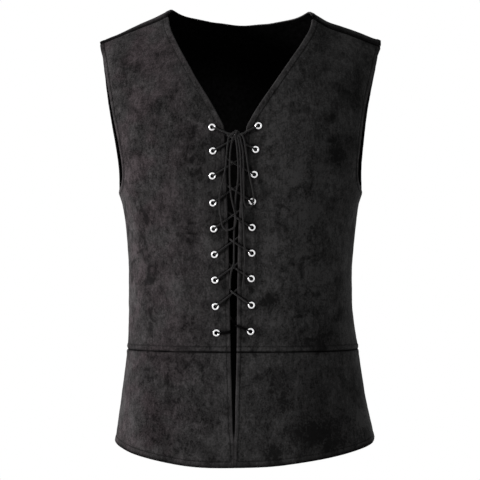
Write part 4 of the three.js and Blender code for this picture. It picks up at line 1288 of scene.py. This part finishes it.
def suede_material():
    """Charcoal suede: a dull mottled nap, with a mauve tint painted on the wearer's right, where the key
    lamp falls, that brightens where it turns away from the eye. It is worn paler along turned edges.
    Shade is painted on it, darker and without shine, in its seams, stitch grooves and rolled edges,
    and where near cloth, lace and eyelets shut out the light."""
    material, tree, surface = new_material("charcoal suede")
    place = object_place(tree)
    nap = node(tree, "ShaderNodeGroup", {"Place": place, "Patch Size": 26.0}, node_tree=BRUSHED_NAP)
    fray = noise(tree, place, scale=190.0, detail=5.0, rough=0.7, bend=0.6)
    ragged = spread(tree, fray, low=0.36, high=0.62, to_low=0.35, to_high=1.2)
    # The patches darken or pale the nap; a few of them are painted highlights and shade.
    patched = maths(tree, "SUBTRACT", 1.0, times(tree, attribute_of(tree, "nap_and_painted_light_patch"), ragged))
    tone = times(tree, nap.outputs["Tone"], patched)
    colour = blend_colours(tree, spread(tree, tone, low=0.2, high=0.52), NAP_DARK, NAP_MIDDLE)
    colour = blend_colours(tree, spread(tree, tone, low=0.5, high=0.8), colour, NAP_LIGHT)
    # A mauve tint painted in patches on the wearer's right, standing in for the key lamp's tinted light
    # there.
    across = node(tree, "ShaderNodeSeparateXYZ", {0: place}).outputs[0]
    tint_noise = noise(tree, place, scale=24.0, detail=3.0)
    patchy_tint = spread(tree, tint_noise, low=0.4, high=0.6, to_low=0.25)
    on_right = spread(tree, across, low=PAINTED_TINT_FROM, high=0.0, to_low=1.0, to_high=0.0)
    painted_tint = times(tree, on_right, patchy_tint)
    colour = blend_colours(tree, painted_tint, colour, PAINTED_LAMP_TINT, "MULTIPLY")
    worn = times(tree, attribute_of(tree, "edge_wear"), WORN_SHARE)
    colour = blend_colours(tree, worn, colour, NAP_WORN)
    # Painted shade in seams, stitch grooves and rolled edges: darker, with its sheen and shine taken away.
    seam = attribute_of(tree, "painted_seam_shade")
    colour = blend_colours(tree, times(tree, seam, PAINTED_SHADE_SHARE), colour, NAP_IN_PAINTED_SHADE)
    # Painted shadow: the nap's colour darkens where near cloth, lace and eyelets shut out the light.
    painted_occlusion = node(tree, "ShaderNodeAmbientOcclusion", {"Distance": 0.008}, samples=8)
    free_of_painted_shadow = spread(tree, painted_occlusion.outputs["AO"], low=0.6, high=0.99)
    outside_painted_shade = maths(tree, "SUBTRACT", 1.0, seam)
    fill_inputs(tree, surface, {
        "Base Color": blend_colours(tree, free_of_painted_shadow, NAP_IN_PAINTED_SHADOW, colour),
        "Normal": relief(tree, nap.outputs["Height"], strength=0.55, depth=0.0006),
        "Roughness": spread(tree, nap.outputs["Tone"], low=0.2, high=0.8, to_low=0.95, to_high=0.8),
        "Specular IOR Level": times(tree, outside_painted_shade, 0.03),
        "Sheen Weight": times(tree, outside_painted_shade, 0.065),
        "Sheen Roughness": 0.45,
        "Sheen Tint": NAP_SHEEN,
    })
    return material


REVERSE_DARK = (0.0012, 0.0012, 0.0012, 1)
REVERSE_LIGHT = (0.0028, 0.0028, 0.0029, 1)


def reverse_material():
    """The reverse of the cloth: plain black felted backing with no shine."""
    material, tree, surface = new_material("black reverse")
    fuzz, lint = fuzz_at(tree, object_place(tree), fineness=900.0)
    fill_inputs(tree, surface, {
        "Base Color": blend_colours(tree, fuzz, REVERSE_DARK, REVERSE_LIGHT),
        "Normal": relief(tree, lint, strength=0.4, depth=0.0003),
        "Roughness": 1.0,
        "Specular IOR Level": 0.0,
    })
    return material


SUEDE = suede_material()
SUEDE_REVERSE = reverse_material()

# The two fronts of the bodice. Each is one piece from the waist to the shoulder seam, with a turned
# and stitched edge up the laced opening and the V of the neck, and another round the armhole.
FRONT_SIZE = {"tall": 0.5, "wide": 0.23}


def bodice_front(side_name):
    rows = drawn_in(FRONT_SIZE["tall"], FRONT_STEP)
    columns = drawn_in(FRONT_SIZE["wide"], FRONT_STEP)
    inner = inner_edge(side_name, rows)
    outer = outer_edge(side_name, "front", rows)
    bottom = straight(inner[0], outer[0], columns)
    top = shoulder_seam(side_name, "front", columns)
    block = fill_between(bottom, top, inner, outer, rows, columns)
    laced = rows <= LACED_SHARE
    beside = rows <= SIDE_SHARE
    edges = {"front": [inner[laced]], "neck": [inner[~laced]], "armhole": [outer[~beside]]}
    seams = {"waist": [bottom], "side": [outer[beside]], "shoulder": [top]}
    holes = [seat["point"] for seat in EYELETS[side_name]]
    cloth_piece(f"bodice_front_{side_name}", bodice_form, [block], edges, seams, holes)


for side_name in SIDES:
    bodice_front(side_name)

# The back of the bodice, one piece whose shoulders come forward over the top to meet the fronts.
# Its neck edge is turned and stitched as one line with the edges of the two fronts.
NECK_SPLIT = 0.55
BACK_SIZE = {"tall": 0.48, "strap_wide": 0.1, "strap_tall": 0.075, "neck": 0.17}


def half_back(side_name, rows):
    """One side of the back: its outer edge, the top of its main part from the middle of the neck
    out and along the foot of the strap, and the strap that goes over the shoulder."""
    side = SIDES[side_name]
    neck_point = edge_across(seam_level(side_name, "back", 0), opening_x(side))

    def neck_edge(share):
        level = ROLL * np.radians(BACK_NECK.read(share, "over"))
        return place_across(neck_point * BACK_NECK.read(share, "across"), level, "back")

    split_level = ROLL * math.radians(float(BACK_NECK.read(NECK_SPLIT, "over")))
    outer = outer_edge(side_name, "back", rows, top=split_level)
    columns = drawn_in(BACK_SIZE["strap_wide"], BACK_STEP)
    foot = straight(neck_edge(np.array([NECK_SPLIT]))[0], outer[-1], columns)
    neck_shares = 1 - drawn_in(BACK_SIZE["neck"], BACK_STEP, FINE_STEP * 2)
    middle = neck_edge(neck_shares[neck_shares >= 0][::-1] * NECK_SPLIT)
    strap_rows = drawn_in(BACK_SIZE["strap_tall"], BACK_STEP)
    neck = neck_edge(mix(NECK_SPLIT, 1, strap_rows))
    levels = mix(split_level, seam_level(side_name, "back", 1), strap_rows)
    tip = place_across(edge_across(levels, armhole_x(side, "back")), levels, "back")
    seam = shoulder_seam(side_name, "back", columns)
    neck[0], tip[0] = foot[0], foot[-1]
    seam[0], seam[-1] = neck[-1], tip[-1]
    strap = fill_between(foot, seam, neck, tip, strap_rows, columns)[:, ::side]
    lines = {"outer": outer, "middle": middle, "foot": foot, "neck": neck, "tip": tip, "seam": seam}
    return {**lines, "strap": strap}


def bodice_back():
    rows = drawn_in(BACK_SIZE["tall"], BACK_STEP)
    right, left = halves = [half_back(side_name, rows) for side_name in SIDES]
    right_top = np.concatenate([right["foot"][::-1], right["middle"][::-1][1:]])
    top = np.concatenate([right_top, left["middle"][1:], left["foot"][1:]])
    columns = lengths_along(bodice_form(*top.T))
    columns /= columns[-1]
    bottom = straight(right["outer"][0], left["outer"][0], columns)
    main = fill_between(bottom, top, right["outer"], left["outer"], rows, columns)
    main[-1] = top
    beside = rows <= SIDE_SHARE
    edges = {"neck": [], "back_armhole": []}
    seams = {"waist": [bottom], "side": [], "shoulder_back": []}
    for half in halves:
        edges["neck"] += [half["middle"], half["neck"]]
        edges["back_armhole"] += [half["outer"][~beside], half["tip"]]
        seams["side"].append(half["outer"][beside])
        seams["shoulder_back"].append(half["seam"])
    cloth_piece("bodice_back", bodice_form, [main, right["strap"], left["strap"]], edges, seams)


bodice_back()

# The skirt: two fronts and a back, sewn to the waist and to each other at the sides. The hem is
# turned and stitched, lowest at the middle of the front and rising to the sides.
FRONT_SKIRT = {"tall": 0.155, "wide": 0.25}
BACK_SKIRT = {"tall": 0.145, "wide": 0.52}


def hem_height(angle):
    forward = np.cos(angle)
    drop = np.where(forward < 0, HEM_DROP["back"], HEM_DROP["front"]) * smoothstep(np.abs(forward), 0, 1)
    lift = HEM_LIFT["rise"] * near(np.degrees(angle) - HEM_LIFT["around"], HEM_LIFT["spread"])
    return HEM_SIDE - drop + HEM_TILT * np.sin(angle) + lift


def skirt_piece(node_name, size_of, step, first_angle, last_angle, is_front):
    rows = drawn_in(size_of["tall"], FRONT_STEP)
    columns = drawn_in(size_of["wide"], step)
    at_hem = mix(first_angle(np.array([HEM_SIDE])), last_angle(np.array([HEM_SIDE])), columns)
    heights = mix(hem_height(at_hem)[None, :], WAIST - CLEAR_OF_SEAM, rows[:, None])
    angles = mix(first_angle(heights), last_angle(heights), columns[None, :])
    block = np.stack([angles, heights], axis=-1)
    edges = {"hem": [block[0]]}
    seams = {"waist": [block[-1]], "side": [block[:, -1]]}
    if is_front:
        edges["front"] = [block[:, 0]]
    else:
        seams["side"].append(block[:, 0])
    cloth_piece(node_name, skirt_form, [block], edges, seams)


def upright(angle):
    """A side seam, which keeps to one angle all the way up."""
    def angle_at(height):
        return np.full_like(height, angle)

    return angle_at


def front_skirt(side_name):
    side = SIDES[side_name]
    edge_x = opening_x(side)

    def opening(height):
        sizes = SKIRT_SECTIONS.read_all(height, "half_width", "front", "square")
        return section_angle(edge_x(height), *sizes)

    side_seam = upright(side * QUARTER_TURN)
    skirt_piece(f"skirt_front_{side_name}", FRONT_SKIRT, FRONT_STEP, opening, side_seam, True)


for side_name in SIDES:
    front_skirt(side_name)
back_seams = [upright(-math.pi - side * QUARTER_TURN) for side in SIDES.values()]
skirt_piece("skirt_back", BACK_SKIRT, BACK_STEP, *back_seams, False)

# The topstitching: black polyester thread in short machine stitches, which holds down the turned
# edges and the waist seam's allowance.
STITCH = {"Pitch": 0.0032, "Length": 0.0026, "Thickness": 0.00062}
STITCH_SEED = 11
STITCH_EVENNESS = (0.88, 1.08)
THREAD_DARK = (0.003, 0.003, 0.003, 1)
THREAD_LIGHT = (0.011, 0.0107, 0.011, 1)


def thread_material():
    """Black polyester thread, a little shinier than the suede."""
    material, tree, surface = new_material("black thread")
    fuzz, lint = fuzz_at(tree, object_place(tree), fineness=3200.0)
    fill_inputs(tree, surface, {
        "Base Color": blend_colours(tree, fuzz, THREAD_DARK, THREAD_LIGHT),
        "Normal": relief(tree, lint, strength=0.4, depth=0.0001),
        "Roughness": 0.7,
        "Specular IOR Level": 0.08,
    })
    return material


def geometry_tree(name, **kinds):
    """A new geometry tree with an input of each name and kind."""
    group = bpy.data.node_groups.new(name, "GeometryNodeTree")
    socket(group, "Geometry", "Geometry")
    sockets = {label: socket(group, label, kind) for label, kind in kinds.items()}
    socket(group, "Geometry", "Geometry", "OUTPUT")
    inside = group.nodes.new("NodeGroupInput").outputs
    out = group.nodes.new("NodeGroupOutput")
    return group, sockets, inside, out


def finish_tree(group, out, geometry, material_socket):
    real = node(group, "GeometryNodeRealizeInstances", {"Geometry": geometry}).outputs[0]
    smooth = node(group, "GeometryNodeSetShadeSmooth", {"Geometry": real}).outputs[0]
    painted = node(group, "GeometryNodeSetMaterial", {"Geometry": smooth, "Material": material_socket})
    group.links.new(painted.outputs[0], out.inputs["Geometry"])


def stitch_tree():
    """Short capsules of thread, end to end along each line."""
    group, sockets, inside, out = geometry_tree(
        "row of stitches", Pitch="Float", Length="Float", Thickness="Float", Thread="Material"
    )
    curve = node(group, "GeometryNodeMeshToCurve", {"Mesh": inside["Geometry"]}).outputs[0]
    even = node(group, "GeometryNodeResampleCurve", {"Curve": curve}, mode="LENGTH")
    group.links.new(inside["Pitch"], even.inputs["Length"])
    places = node(group, "GeometryNodeCurveToPoints", {"Curve": even.outputs[0]}, mode="EVALUATED")
    bead = node(group, "GeometryNodeMeshUVSphere", {"Segments": 6, "Rings": 5, "Radius": 0.5})
    sides = {"X": inside["Length"], "Y": inside["Thickness"], "Z": inside["Thickness"]}
    shape = node(group, "ShaderNodeCombineXYZ", sides)
    stitch = node(group, "GeometryNodeTransform", {"Geometry": bead.outputs[0], "Scale": shape.outputs[0]})
    turn = node(group, "FunctionNodeAlignRotationToVector", {"Vector": places.outputs["Tangent"]}, axis="X")
    sizes = {2: STITCH_EVENNESS[0], 3: STITCH_EVENNESS[1], "Seed": STITCH_SEED}
    uneven = node(group, "FunctionNodeRandomValue", sizes, data_type="FLOAT")
    stitches = node(group, "GeometryNodeInstanceOnPoints", {
        "Points": places.outputs["Points"],
        "Instance": stitch.outputs[0],
        "Rotation": turn.outputs[0],
        "Scale": uneven.outputs[1],
    })
    finish_tree(group, out, stitches.outputs[0], inside["Thread"])
    return group, sockets


def made_by_nodes(name, carrier, group, sockets, values):
    """Runs a geometry tree on a carrier mesh and keeps the result as a plain mesh piece."""
    modifier = carrier.modifiers.new("maker", "NODES")
    modifier.node_group = group
    for label, value in values.items():
        modifier[sockets[label].identifier] = value
    graph = bpy.context.evaluated_depsgraph_get()
    mesh = bpy.data.meshes.new_from_object(carrier.evaluated_get(graph))
    mesh.name = name
    bpy.data.objects.remove(carrier)
    piece = bpy.data.objects.new(name, mesh)
    scene.collection.objects.link(piece)
    return piece


def line_mesh(name, lines):
    """Bare lines of places, which carry what a geometry tree repeats along them."""
    points = np.vstack(lines)
    links = []
    start = 0
    for line in lines:
        links += [(start + i, start + i + 1) for i in range(len(line) - 1)]
        start += len(line)
    mesh = bpy.data.meshes.new(name)
    mesh.from_pydata(points.tolist(), links, [])
    thing = bpy.data.objects.new(name, mesh)
    scene.collection.objects.link(thing)
    return thing


stitching_tree, stitching_inputs = stitch_tree()
stitching = made_by_nodes(
    "topstitching",
    line_mesh("stitch_lines", stitch_lines),
    stitching_tree,
    stitching_inputs,
    {**STITCH, "Thread": thread_material()},
)
belongs_to(stitching, "suede")

# The eyelets: nine a side, each a bright nickel-plated steel ring pressed from one tube, so that
# its rolled flanges grip the cloth from both sides.
EYELET_SEGMENTS = 40
EYELET_PROFILE = [
    (0.0026, 0.0009), (0.00275, 0.0013), (0.0032, 0.00162), (0.0039, 0.00168), (0.0046, 0.0014),
    (0.0052, 0.0008), (0.0054, 0.00025), (0.0052, -0.0001), (0.0038, -0.00005), (0.0031, -0.0004),
    (0.0031, -0.0022), (0.005, -0.0025), (0.00505, -0.0029), (0.0038, -0.0034), (0.0026, -0.003),
]
NICKEL_DULL = (0.74, 0.74, 0.75, 1)
NICKEL_BRIGHT = (0.9, 0.9, 0.91, 1)


def eyelet_metal():
    """Polished nickel with faint smears."""
    material, tree, surface = new_material("nickel plate")
    smear = noise(tree, object_place(tree), scale=420.0, detail=4.0, rough=0.6, bend=0.3)
    fill_inputs(tree, surface, {
        "Base Color": blend_colours(tree, smear, NICKEL_DULL, NICKEL_BRIGHT),
        "Normal": relief(tree, smear, strength=0.12, depth=0.0001),
        "Roughness": spread(tree, smear, low=0.3, high=0.7, to_low=0.14, to_high=0.3),
        "Metallic": 1.0,
    })
    return material


def turned_ring(profile, segments):
    """A closed outline, turned round the Z axis."""
    around = np.linspace(0, math.tau, segments, endpoint=False)[:, None]
    reach, height = np.array(profile).T
    height = np.broadcast_to(height, (segments, len(profile)))
    points = np.stack([reach * np.cos(around), reach * np.sin(around), height], axis=-1)
    index = np.arange(height.size).reshape(height.shape)
    beside, below = np.roll(index, -1, axis=0), np.roll(index, -1, axis=1)
    both = np.roll(beside, -1, axis=1)
    return points.reshape(-1, 3), np.stack([index, below, both, beside], axis=-1).reshape(-1, 4)


def eyelet_tree(ring):
    """A copy of the ring on each place, turned to face the way that the place says."""
    group, sockets, inside, out = geometry_tree("row of eyelets", Metal="Material")
    facing = node(group, "GeometryNodeInputNamedAttribute", {"Name": "facing"}, data_type="FLOAT_VECTOR")
    turn = node(group, "FunctionNodeAlignRotationToVector", {"Vector": facing.outputs[0]}, axis="Z")
    source = node(group, "GeometryNodeObjectInfo", {"Object": ring})
    places = node(group, "GeometryNodeMeshToPoints", {"Mesh": inside["Geometry"]})
    rings = node(group, "GeometryNodeInstanceOnPoints", {
        "Points": places.outputs[0], "Instance": source.outputs["Geometry"], "Rotation": turn.outputs[0]
    })
    finish_tree(group, out, rings.outputs[0], inside["Metal"])
    return group, sockets


nickel = eyelet_metal()
ring = mesh_object("one_eyelet", *turned_ring(EYELET_PROFILE, EYELET_SEGMENTS), [nickel])
ring_tree, ring_inputs = eyelet_tree(ring)
for side_name, seats in EYELETS.items():
    carrier = line_mesh(f"eyelet_places_{side_name}", [np.array([seat["point"] for seat in seats])])
    facing = carrier.data.attributes.new("facing", "FLOAT_VECTOR", "POINT")
    facing.data.foreach_set("vector", np.array([seat["facing"] for seat in seats], np.float32).ravel())
    piece = made_by_nodes(f"eyelets_{side_name}", carrier, ring_tree, ring_inputs, {"Metal": nickel})
    belongs_to(piece, "eyelet", *[f"eyelet_{side_name}_{row + 1}" for row in range(EYELET_ROWS)])
bpy.data.objects.remove(ring)

# The laced part of the cord. It starts as a bar behind the lowest eyelets, comes up through each
# eyelet from behind and crosses over the gap to go down behind the next one, up to the knot.
# Near an eyelet its places are given as a distance from the eyelet and a lift off the cloth.
LEAVING = ((0.0011, -0.0012), (0.0016, 0.0012), (0.0031, 0.0033), (0.0062, 0.0034))
ENTERING = ((0.0056, -0.0053), (0.003, -0.0054), (0.0014, -0.0036))
OVER_EDGE = 0.0021
UNDER_EDGE = -0.0041
UPPER_STRAND = (0.0025, 0.0022, 0.0011)
LOWER_STRAND = (-0.0014, -0.0023, -0.0034)
NEAR_MIDDLE = 0.0024
HALVINGS = 30
LOWEST_RISE = {-1: 0.0015, 1: 0.008}
LOWEST = {
    "over_edge": 0.0017, "dive": (0.0026, -0.0005), "dive_lift": -0.00574, "behind": 0.62, "lift": -0.0082
}
BAR_DROP = {"middle": 0.006, "half_way": 0.0036}
BAR_LIFT = {"middle": -0.0162, "half_way": -0.0108, "below": -0.0054, "rising": -0.0034}
BAR = {"overlap": 0.0015, "below": 0.0022, "rising": 0.0005}
KNOT = {"x": -0.0064, "height": -0.1625, "lift": 0.0042, "reach": 0.0012, "beside": 0.0085, "below": 0.0008}
TO_KNOT = {"share": 0.6, "lift": 0.0034}


def over_front(x, height, lift):
    return on_form(bodice_form, *front_place(x, height), lift)


def flat_place(seat):
    return np.array([seat["x"], seat["height"]])


def strand_start(start, end):
    """The places where a strand comes up out of an eyelet and sets off toward its end."""
    length = np.linalg.norm(end - start)
    return [over_front(*mix(start, end, distance / length), lift) for distance, lift in LEAVING]


def strand_end(start, end):
    """The places where a strand, behind the front, comes to the eyelet at its end."""
    length = np.linalg.norm(end - start)
    return [over_front(*mix(start, end, 1 - distance / length), lift) for distance, lift in ENTERING]


def edge_share(start, end, side):
    """How far along a strand the edge of the opening on one side lies."""
    nearer, farther = 0.0, 1.0
    for _ in range(HALVINGS):
        share = (nearer + farther) / 2
        x, height = mix(start, end, share)
        if (x - opening_edge(height, side)) * np.sign(end[0] - start[0]) > 0:
            farther = share
        else:
            nearer = share
    return nearer


def lowest_crossing(leave, enter, side):
    """The lowest strand: level to the edge of its own front, then down behind both fronts."""
    start, end = flat_place(leave), flat_place(enter)
    edge = np.array([opening_edge(start[1], side), start[1] + LOWEST_RISE[side]])
    dive = edge - np.array(LOWEST["dive"]) * (side, 1)
    return [
        *strand_start(start, edge),
        over_front(*edge, LOWEST["over_edge"]),
        over_front(*dive, LOWEST["dive_lift"]),
        over_front(*mix(start, end, LOWEST["behind"]), LOWEST["lift"]),
        *strand_end(start, end),
    ]


def crossing(leave, enter, is_upper):
    """A strand over the gap: on top of the other strand at the middle, or under it."""
    start, end = flat_place(leave), flat_place(enter)
    side = np.sign(start[0] - end[0])
    length = np.linalg.norm(end - start)
    middle = (OPENING.read((start[1] + end[1]) / 2, "middle") - start[0]) / (end[0] - start[0])
    shares = middle + np.array([-NEAR_MIDDLE, 0, NEAR_MIDDLE]) / length
    return [
        *strand_start(start, end),
        over_front(*mix(start, end, edge_share(start, end, side)), OVER_EDGE),
        *[
            over_front(*mix(start, end, share), lift)
            for share, lift in zip(shares, UPPER_STRAND if is_upper else LOWER_STRAND)
        ],
        over_front(*mix(start, end, edge_share(start, end, -side)), UNDER_EDGE),
        *strand_end(start, end),
    ]


def hidden_bar(side, lowest):
    """Half of the bar behind the lowest pair, from the middle to an eyelet and up through it."""
    x, height = lowest["x"], lowest["height"]
    middle = sum(EYELETS[name][-1]["x"] for name in SIDES) / 2 - side * BAR["overlap"]
    return [
        over_front(middle, height - side * EYELET_TILT - BAR_DROP["middle"], BAR_LIFT["middle"]),
        over_front((middle + x) / 2, height - BAR_DROP["half_way"], BAR_LIFT["half_way"]),
        over_front(x - side * BAR["below"], height, BAR_LIFT["below"]),
        over_front(x - side * BAR["rising"], height, BAR_LIFT["rising"]),
    ]


def to_the_knot(side, top):
    """The last strand, from the top eyelet down to the side of the knot and into it."""
    start = flat_place(top)
    beside = np.array([KNOT["x"] + side * KNOT["beside"], KNOT["height"] - KNOT["below"]])
    return [
        *strand_start(start, beside),
        over_front(*mix(start, beside, TO_KNOT["share"]), TO_KNOT["lift"]),
        over_front(*beside, TO_KNOT["lift"]),
        over_front(KNOT["x"] + side * KNOT["reach"], KNOT["height"], KNOT["lift"]),
    ]


def laced_run(first_side):
    """One half of the lace, which changes sides at each row on its way up."""
    here, there = first_side, "left" if first_side == "right" else "right"
    last = EYELET_ROWS - 1
    points = hidden_bar(SIDES[here], EYELETS[here][last])
    for row in range(last, 0, -1):
        leave, enter = EYELETS[here][row], EYELETS[there][row - 1]
        if row == last:
            points += lowest_crossing(leave, enter, SIDES[here])
        else:
            points += crossing(leave, enter, (row % 2 == 0) == (here == "right"))
        here, there = there, here
    return points + to_the_knot(SIDES[here], EYELETS[here][0])


for side_name in SIDES:
    run = smooth_route(laced_run(side_name), LACE_STEP)
    piece = lace_mesh(f"lace_from_{side_name}_cord", run)
    belongs_to(piece, "lace", f"lace_from_{side_name}")

# The knot of the bow: the two ends pass through it side by side, and one of them is wound round
# both, tight enough to flatten them a little.
WRAP = {"turns": 1.7, "half_width": 0.0019, "depth": 0.0023, "height": 0.0034, "lean": 0.0009}
WRAP_START = 0.6
WRAP_PLACES = 30
KNOT_STEP = 0.0005
KNOT_CORE = np.array([
    (-0.0046, 0, 0.0018), (-0.0025, 0.0002, 0.001), (0, 0.0004, 0.0004), (0.0025, 0.0002, 0.001),
    (0.0046, 0, 0.0018),
])
wrap_turn = WRAP_START + np.linspace(0, math.tau * WRAP["turns"], WRAP_PLACES)
knot_wrap = np.column_stack([
    WRAP["half_width"] * np.linspace(-1, 1, WRAP_PLACES) + WRAP["lean"] * np.sin(wrap_turn),
    -WRAP["depth"] * np.cos(wrap_turn),
    WRAP["height"] * np.sin(wrap_turn),
])
knot_centre = over_front(KNOT["x"], KNOT["height"], KNOT["lift"])
for strand_name, places, solids in (("knot_wrap", knot_wrap, ["lace_knot"]), ("knot_core", KNOT_CORE, [])):
    piece = lace_mesh(strand_name, smooth_route(places + knot_centre, KNOT_STEP))
    belongs_to(piece, "lace", *solids)

# The studio: a plain pale floor well below the vest, a white room, a broad soft lamp at the
# viewer's left and a narrow one beside and behind it, which lights the cloth's left border.
FLOOR = {"radius": 1.7, "height": -0.95, "sides": 64}
FLOOR_COLOUR = (0.8, 0.8, 0.79, 1)
floor_turns = [math.tau * i / FLOOR["sides"] for i in range(FLOOR["sides"])]
floor_points = [
    (FLOOR["radius"] * math.cos(turn), FLOOR["radius"] * math.sin(turn), FLOOR["height"])
    for turn in floor_turns
]
floor_material, floor_tree, floor_surface = new_material("pale floor")
fill_inputs(floor_tree, floor_surface, {"Base Color": FLOOR_COLOUR, "Roughness": 0.7})
floor = mesh_object("floor", floor_points, [list(range(FLOOR["sides"]))], [floor_material])

ROOM_FILL = 0.31
world = bpy.data.worlds.new("white room")
world.use_nodes = True
room = world.node_tree
path = node(room, "ShaderNodeLightPath")
seen = maths(room, "MAXIMUM", path.outputs["Is Camera Ray"], path.outputs["Is Glossy Ray"])
fill_inputs(room, room.nodes["Background"], {
    "Color": (1, 1, 1, 1),
    "Strength": spread(room, seen, low=0, high=1, to_low=ROOM_FILL),
})
scene.world = world
scene.view_settings.view_transform = "Standard"

LAMPS = {
    "front_left_lamp": {"place": (-2.9, -1.7, 0.4), "width": 0.8, "power": 134},
    "side_left_lamp": {"place": (-2.4, 0.9, 0.2), "width": 0.7, "power": 55},
}
LAMPS_FACE = (0, 0, -0.3)
LAMP_COLOUR = (1, 0.965, 0.975)
for lamp_name, lamp_of in LAMPS.items():
    lamp_data = bpy.data.lights.new(lamp_name, "AREA")
    lamp_data.shape = "DISK"
    lamp_data.size = lamp_of["width"]
    lamp_data.energy = lamp_of["power"]
    lamp_data.color = LAMP_COLOUR
    lamp = bpy.data.objects.new(lamp_name, lamp_data)
    lamp.location = lamp_of["place"]
    across, away, up = np.array(LAMPS_FACE) - lamp_of["place"]
    tip = math.atan2(math.hypot(across, away), -up)
    lamp.rotation_euler = (tip, 0, math.atan2(away, across) - math.pi / 2)
    scene.collection.objects.link(lamp)
